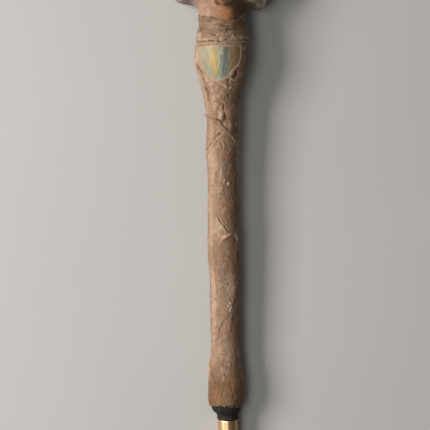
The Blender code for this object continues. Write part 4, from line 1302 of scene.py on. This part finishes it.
def head_finish(tree):
    broad = pattern(tree, 0.07, 5.0, (1, 1.3, 1), 0.6, 0.6)
    grain = pattern(tree, 0.7, 4.0, (1, 2.5, 1), 0.7)
    speck = pattern(tree, 1.1, 3.0)
    colour = ramp(tree, broad, HEAD_WOOD)
    lichen = between(tree, pattern(tree, 0.12, 4.0, (1, 1, 1), 0.65, 0.8), 0.46, 0.62, 0.0, 0.75)
    grey = mixed(tree, mark(tree, "crust"), (0.150, 0.115, 0.070), (0.340, 0.300, 0.220))
    colour = mixed(tree, lichen, colour, grey)
    left = mixed(tree, between(tree, broad, 0.40, 0.60), (0.250, 0.190, 0.170), (0.530, 0.430, 0.385))
    right = mixed(tree, mark(tree, "crust"), (0.110, 0.070, 0.045), (0.330, 0.300, 0.230))
    right = mixed(tree, between(tree, speck, 0.55, 0.72), right, (0.480, 0.450, 0.370))
    front = mixed(tree, between(tree, grain, 0.35, 0.65), (0.100, 0.070, 0.042), (0.265, 0.220, 0.145))
    front = mixed(tree, between(tree, lichen, 0.0, 0.75, 0.6, 0.0), front, (0.260, 0.165, 0.105))
    front = tinted(tree, front, speck, 0.56, 0.70, 0.8, (0.420, 0.400, 0.330))
    front = tinted(tree, front, pattern(tree, 0.3, 3.0), 0.52, 0.62, 0.8, (0.070, 0.042, 0.024))
    for name, other in (("neck", neck_tone(tree, broad)), ("left", left), ("right", right), ("front", front)):
        colour = mixed(tree, mark(tree, name), colour, other)
    colour = tinted(tree, colour, grain, 0.58, 0.38, 0.4, (0.110, 0.062, 0.036))
    # Painted shade, with some dirt, in the boss's groove, the cracks and on the neck above the wrap's edge
    colour = tinted(tree, colour, mark(tree, "shade_and_dirt"), 0.2, 0.9, 0.85, (0.040, 0.022, 0.014))
    normal = bumped(tree, grain, 0.4, 0.6)
    normal = bumped(tree, speck, 0.3, 0.5, normal)
    return {
        "Base Color": colour,
        "Roughness": between(tree, broad, 0.3, 0.7, 0.62, 0.9),
        "Normal": normal,
        "Specular IOR Level": 0.3,
    }


def pitch_finish(tree):
    tone = pattern(tree, 0.6, 5.0, (1, 2.0, 1), 0.65)
    raised = between(tree, mark(tree, "lift"), 0.0, 0.5)
    colour = mixed(tree, between(tree, tone, 0.4, 0.7), (0.006, 0.005, 0.005), (0.030, 0.022, 0.017))
    return {
        "Base Color": mixed(tree, maths(tree, "MULTIPLY", raised, 0.5), colour, (0.045, 0.032, 0.023)),
        "Roughness": between(tree, tone, 0.3, 0.7, 0.6, 0.9),
        "Specular IOR Level": 0.3,
        "Normal": bumped(tree, tone, 0.4, 0.7),
    }


def brass_finish(tree):
    drawn = pattern(tree, 2.2, 3.0, (1, 30, 1), 0.6)
    tarnish = pattern(tree, 0.12, 5.0, (1, 1.5, 1), 0.6, 0.4)
    colour = mixed(tree, between(tree, tarnish, 0.45, 0.72), (0.880, 0.610, 0.350), (0.560, 0.320, 0.150))
    # Painted shade: the brass turns darker and browner towards its right side
    painted_shade = between(tree, mark(tree, "around"), 0.05, 0.9, 0.0, 0.8)
    colour = mixed(tree, painted_shade, colour, (0.330, 0.170, 0.075))
    dimmed = between(tree, tarnish, 0.45, 0.75, 0.0, 0.15)
    rough = maths(tree, "ADD", between(tree, drawn, 0.3, 0.7, 0.26, 0.36), dimmed)
    return {
        "Base Color": colour,
        "Metallic": 1.0,
        "Roughness": rough,
        "Normal": bumped(tree, drawn, 0.03, 0.5),
    }


def floor_finish(tree):
    tone = pattern(tree, 0.004, 3.0)
    return {
        "Base Color": mixed(tree, tone, (0.450, 0.446, 0.438), (0.480, 0.476, 0.468)),
        "Roughness": 0.9,
    }


def add_floor():
    corners = [(x * FLOOR_SIDE / 2, y * FLOOR_SIDE / 2, 0) for x, y in ((-1, -1), (1, -1), (1, 1), (-1, 1))]
    floor = add_mesh("floor", corners, [(0, 1, 2, 3)], finish("floor", floor_finish))


def add_light(name, place, aim, size, power, colour):
    light = bpy.data.lights.new(name, "AREA")
    light.shape = "RECTANGLE"
    light.size, light.size_y = size
    light.energy = power
    light.color = colour
    lamp = bpy.data.objects.new(name, light)
    lamp.location = place
    lamp.rotation_euler = (Vector(aim) - Vector(place)).to_track_quat("-Z", "Y").to_euler()
    bpy.context.scene.collection.objects.link(lamp)


def add_lights():
    add_light("key", (-1.74, 0.20, 1.34), (0, 0.0, 0.02), (1.4, 0.9), 61.0, (1.0, 0.965, 0.92))
    add_light("front_fill", (-0.42, -0.15, 1.4), (0, 0, 0), (0.9, 0.4), 5.6, (1.0, 0.98, 0.96))
    world = bpy.data.worlds.new("studio")
    world.use_nodes = True
    world.node_tree.nodes["Background"].inputs["Color"].default_value = (0.92, 0.90, 0.87, 1.0)
    world.node_tree.nodes["Background"].inputs["Strength"].default_value = 0.13
    bpy.context.scene.world = world
    bpy.context.scene.view_settings.view_transform = "Standard"


def add_camera():
    """Straight above, framed as the photo: the axis crosses the frame where it does there."""
    rise = Vector((CENTRE_ACROSS, CENTRE_ALONG * math.cos(TILT), CENTRE_ALONG * math.sin(TILT) + CAMERA_AWAY))
    camera = bpy.data.cameras.new("camera")
    camera.lens, camera.sensor_width = CAMERA_LENS, CAMERA_SENSOR
    seen = bpy.data.objects.new("camera", camera)
    seen.location = lying_origin() + rise * MM
    seen.rotation_euler = (0, 0, -LEAN)
    bpy.context.scene.collection.objects.link(seen)
    bpy.context.scene.camera = seen


def main():
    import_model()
    skin = finish("wrinkled_skin", skin_finish)
    thread = finish("pale_thread", thread_finish)
    wrapped_skin(skin)
    laid_threads(thread)
    frayed_fibres(thread)
    shell_plate(finish("iridescent_shell", shell_finish))
    head_piece(finish("weathered_wood", head_finish))
    collar_piece(finish("dark_pitch", pitch_finish))
    ferrule_piece(finish("brass", brass_finish))
    add_floor()
    add_lights()
    add_camera()


main()
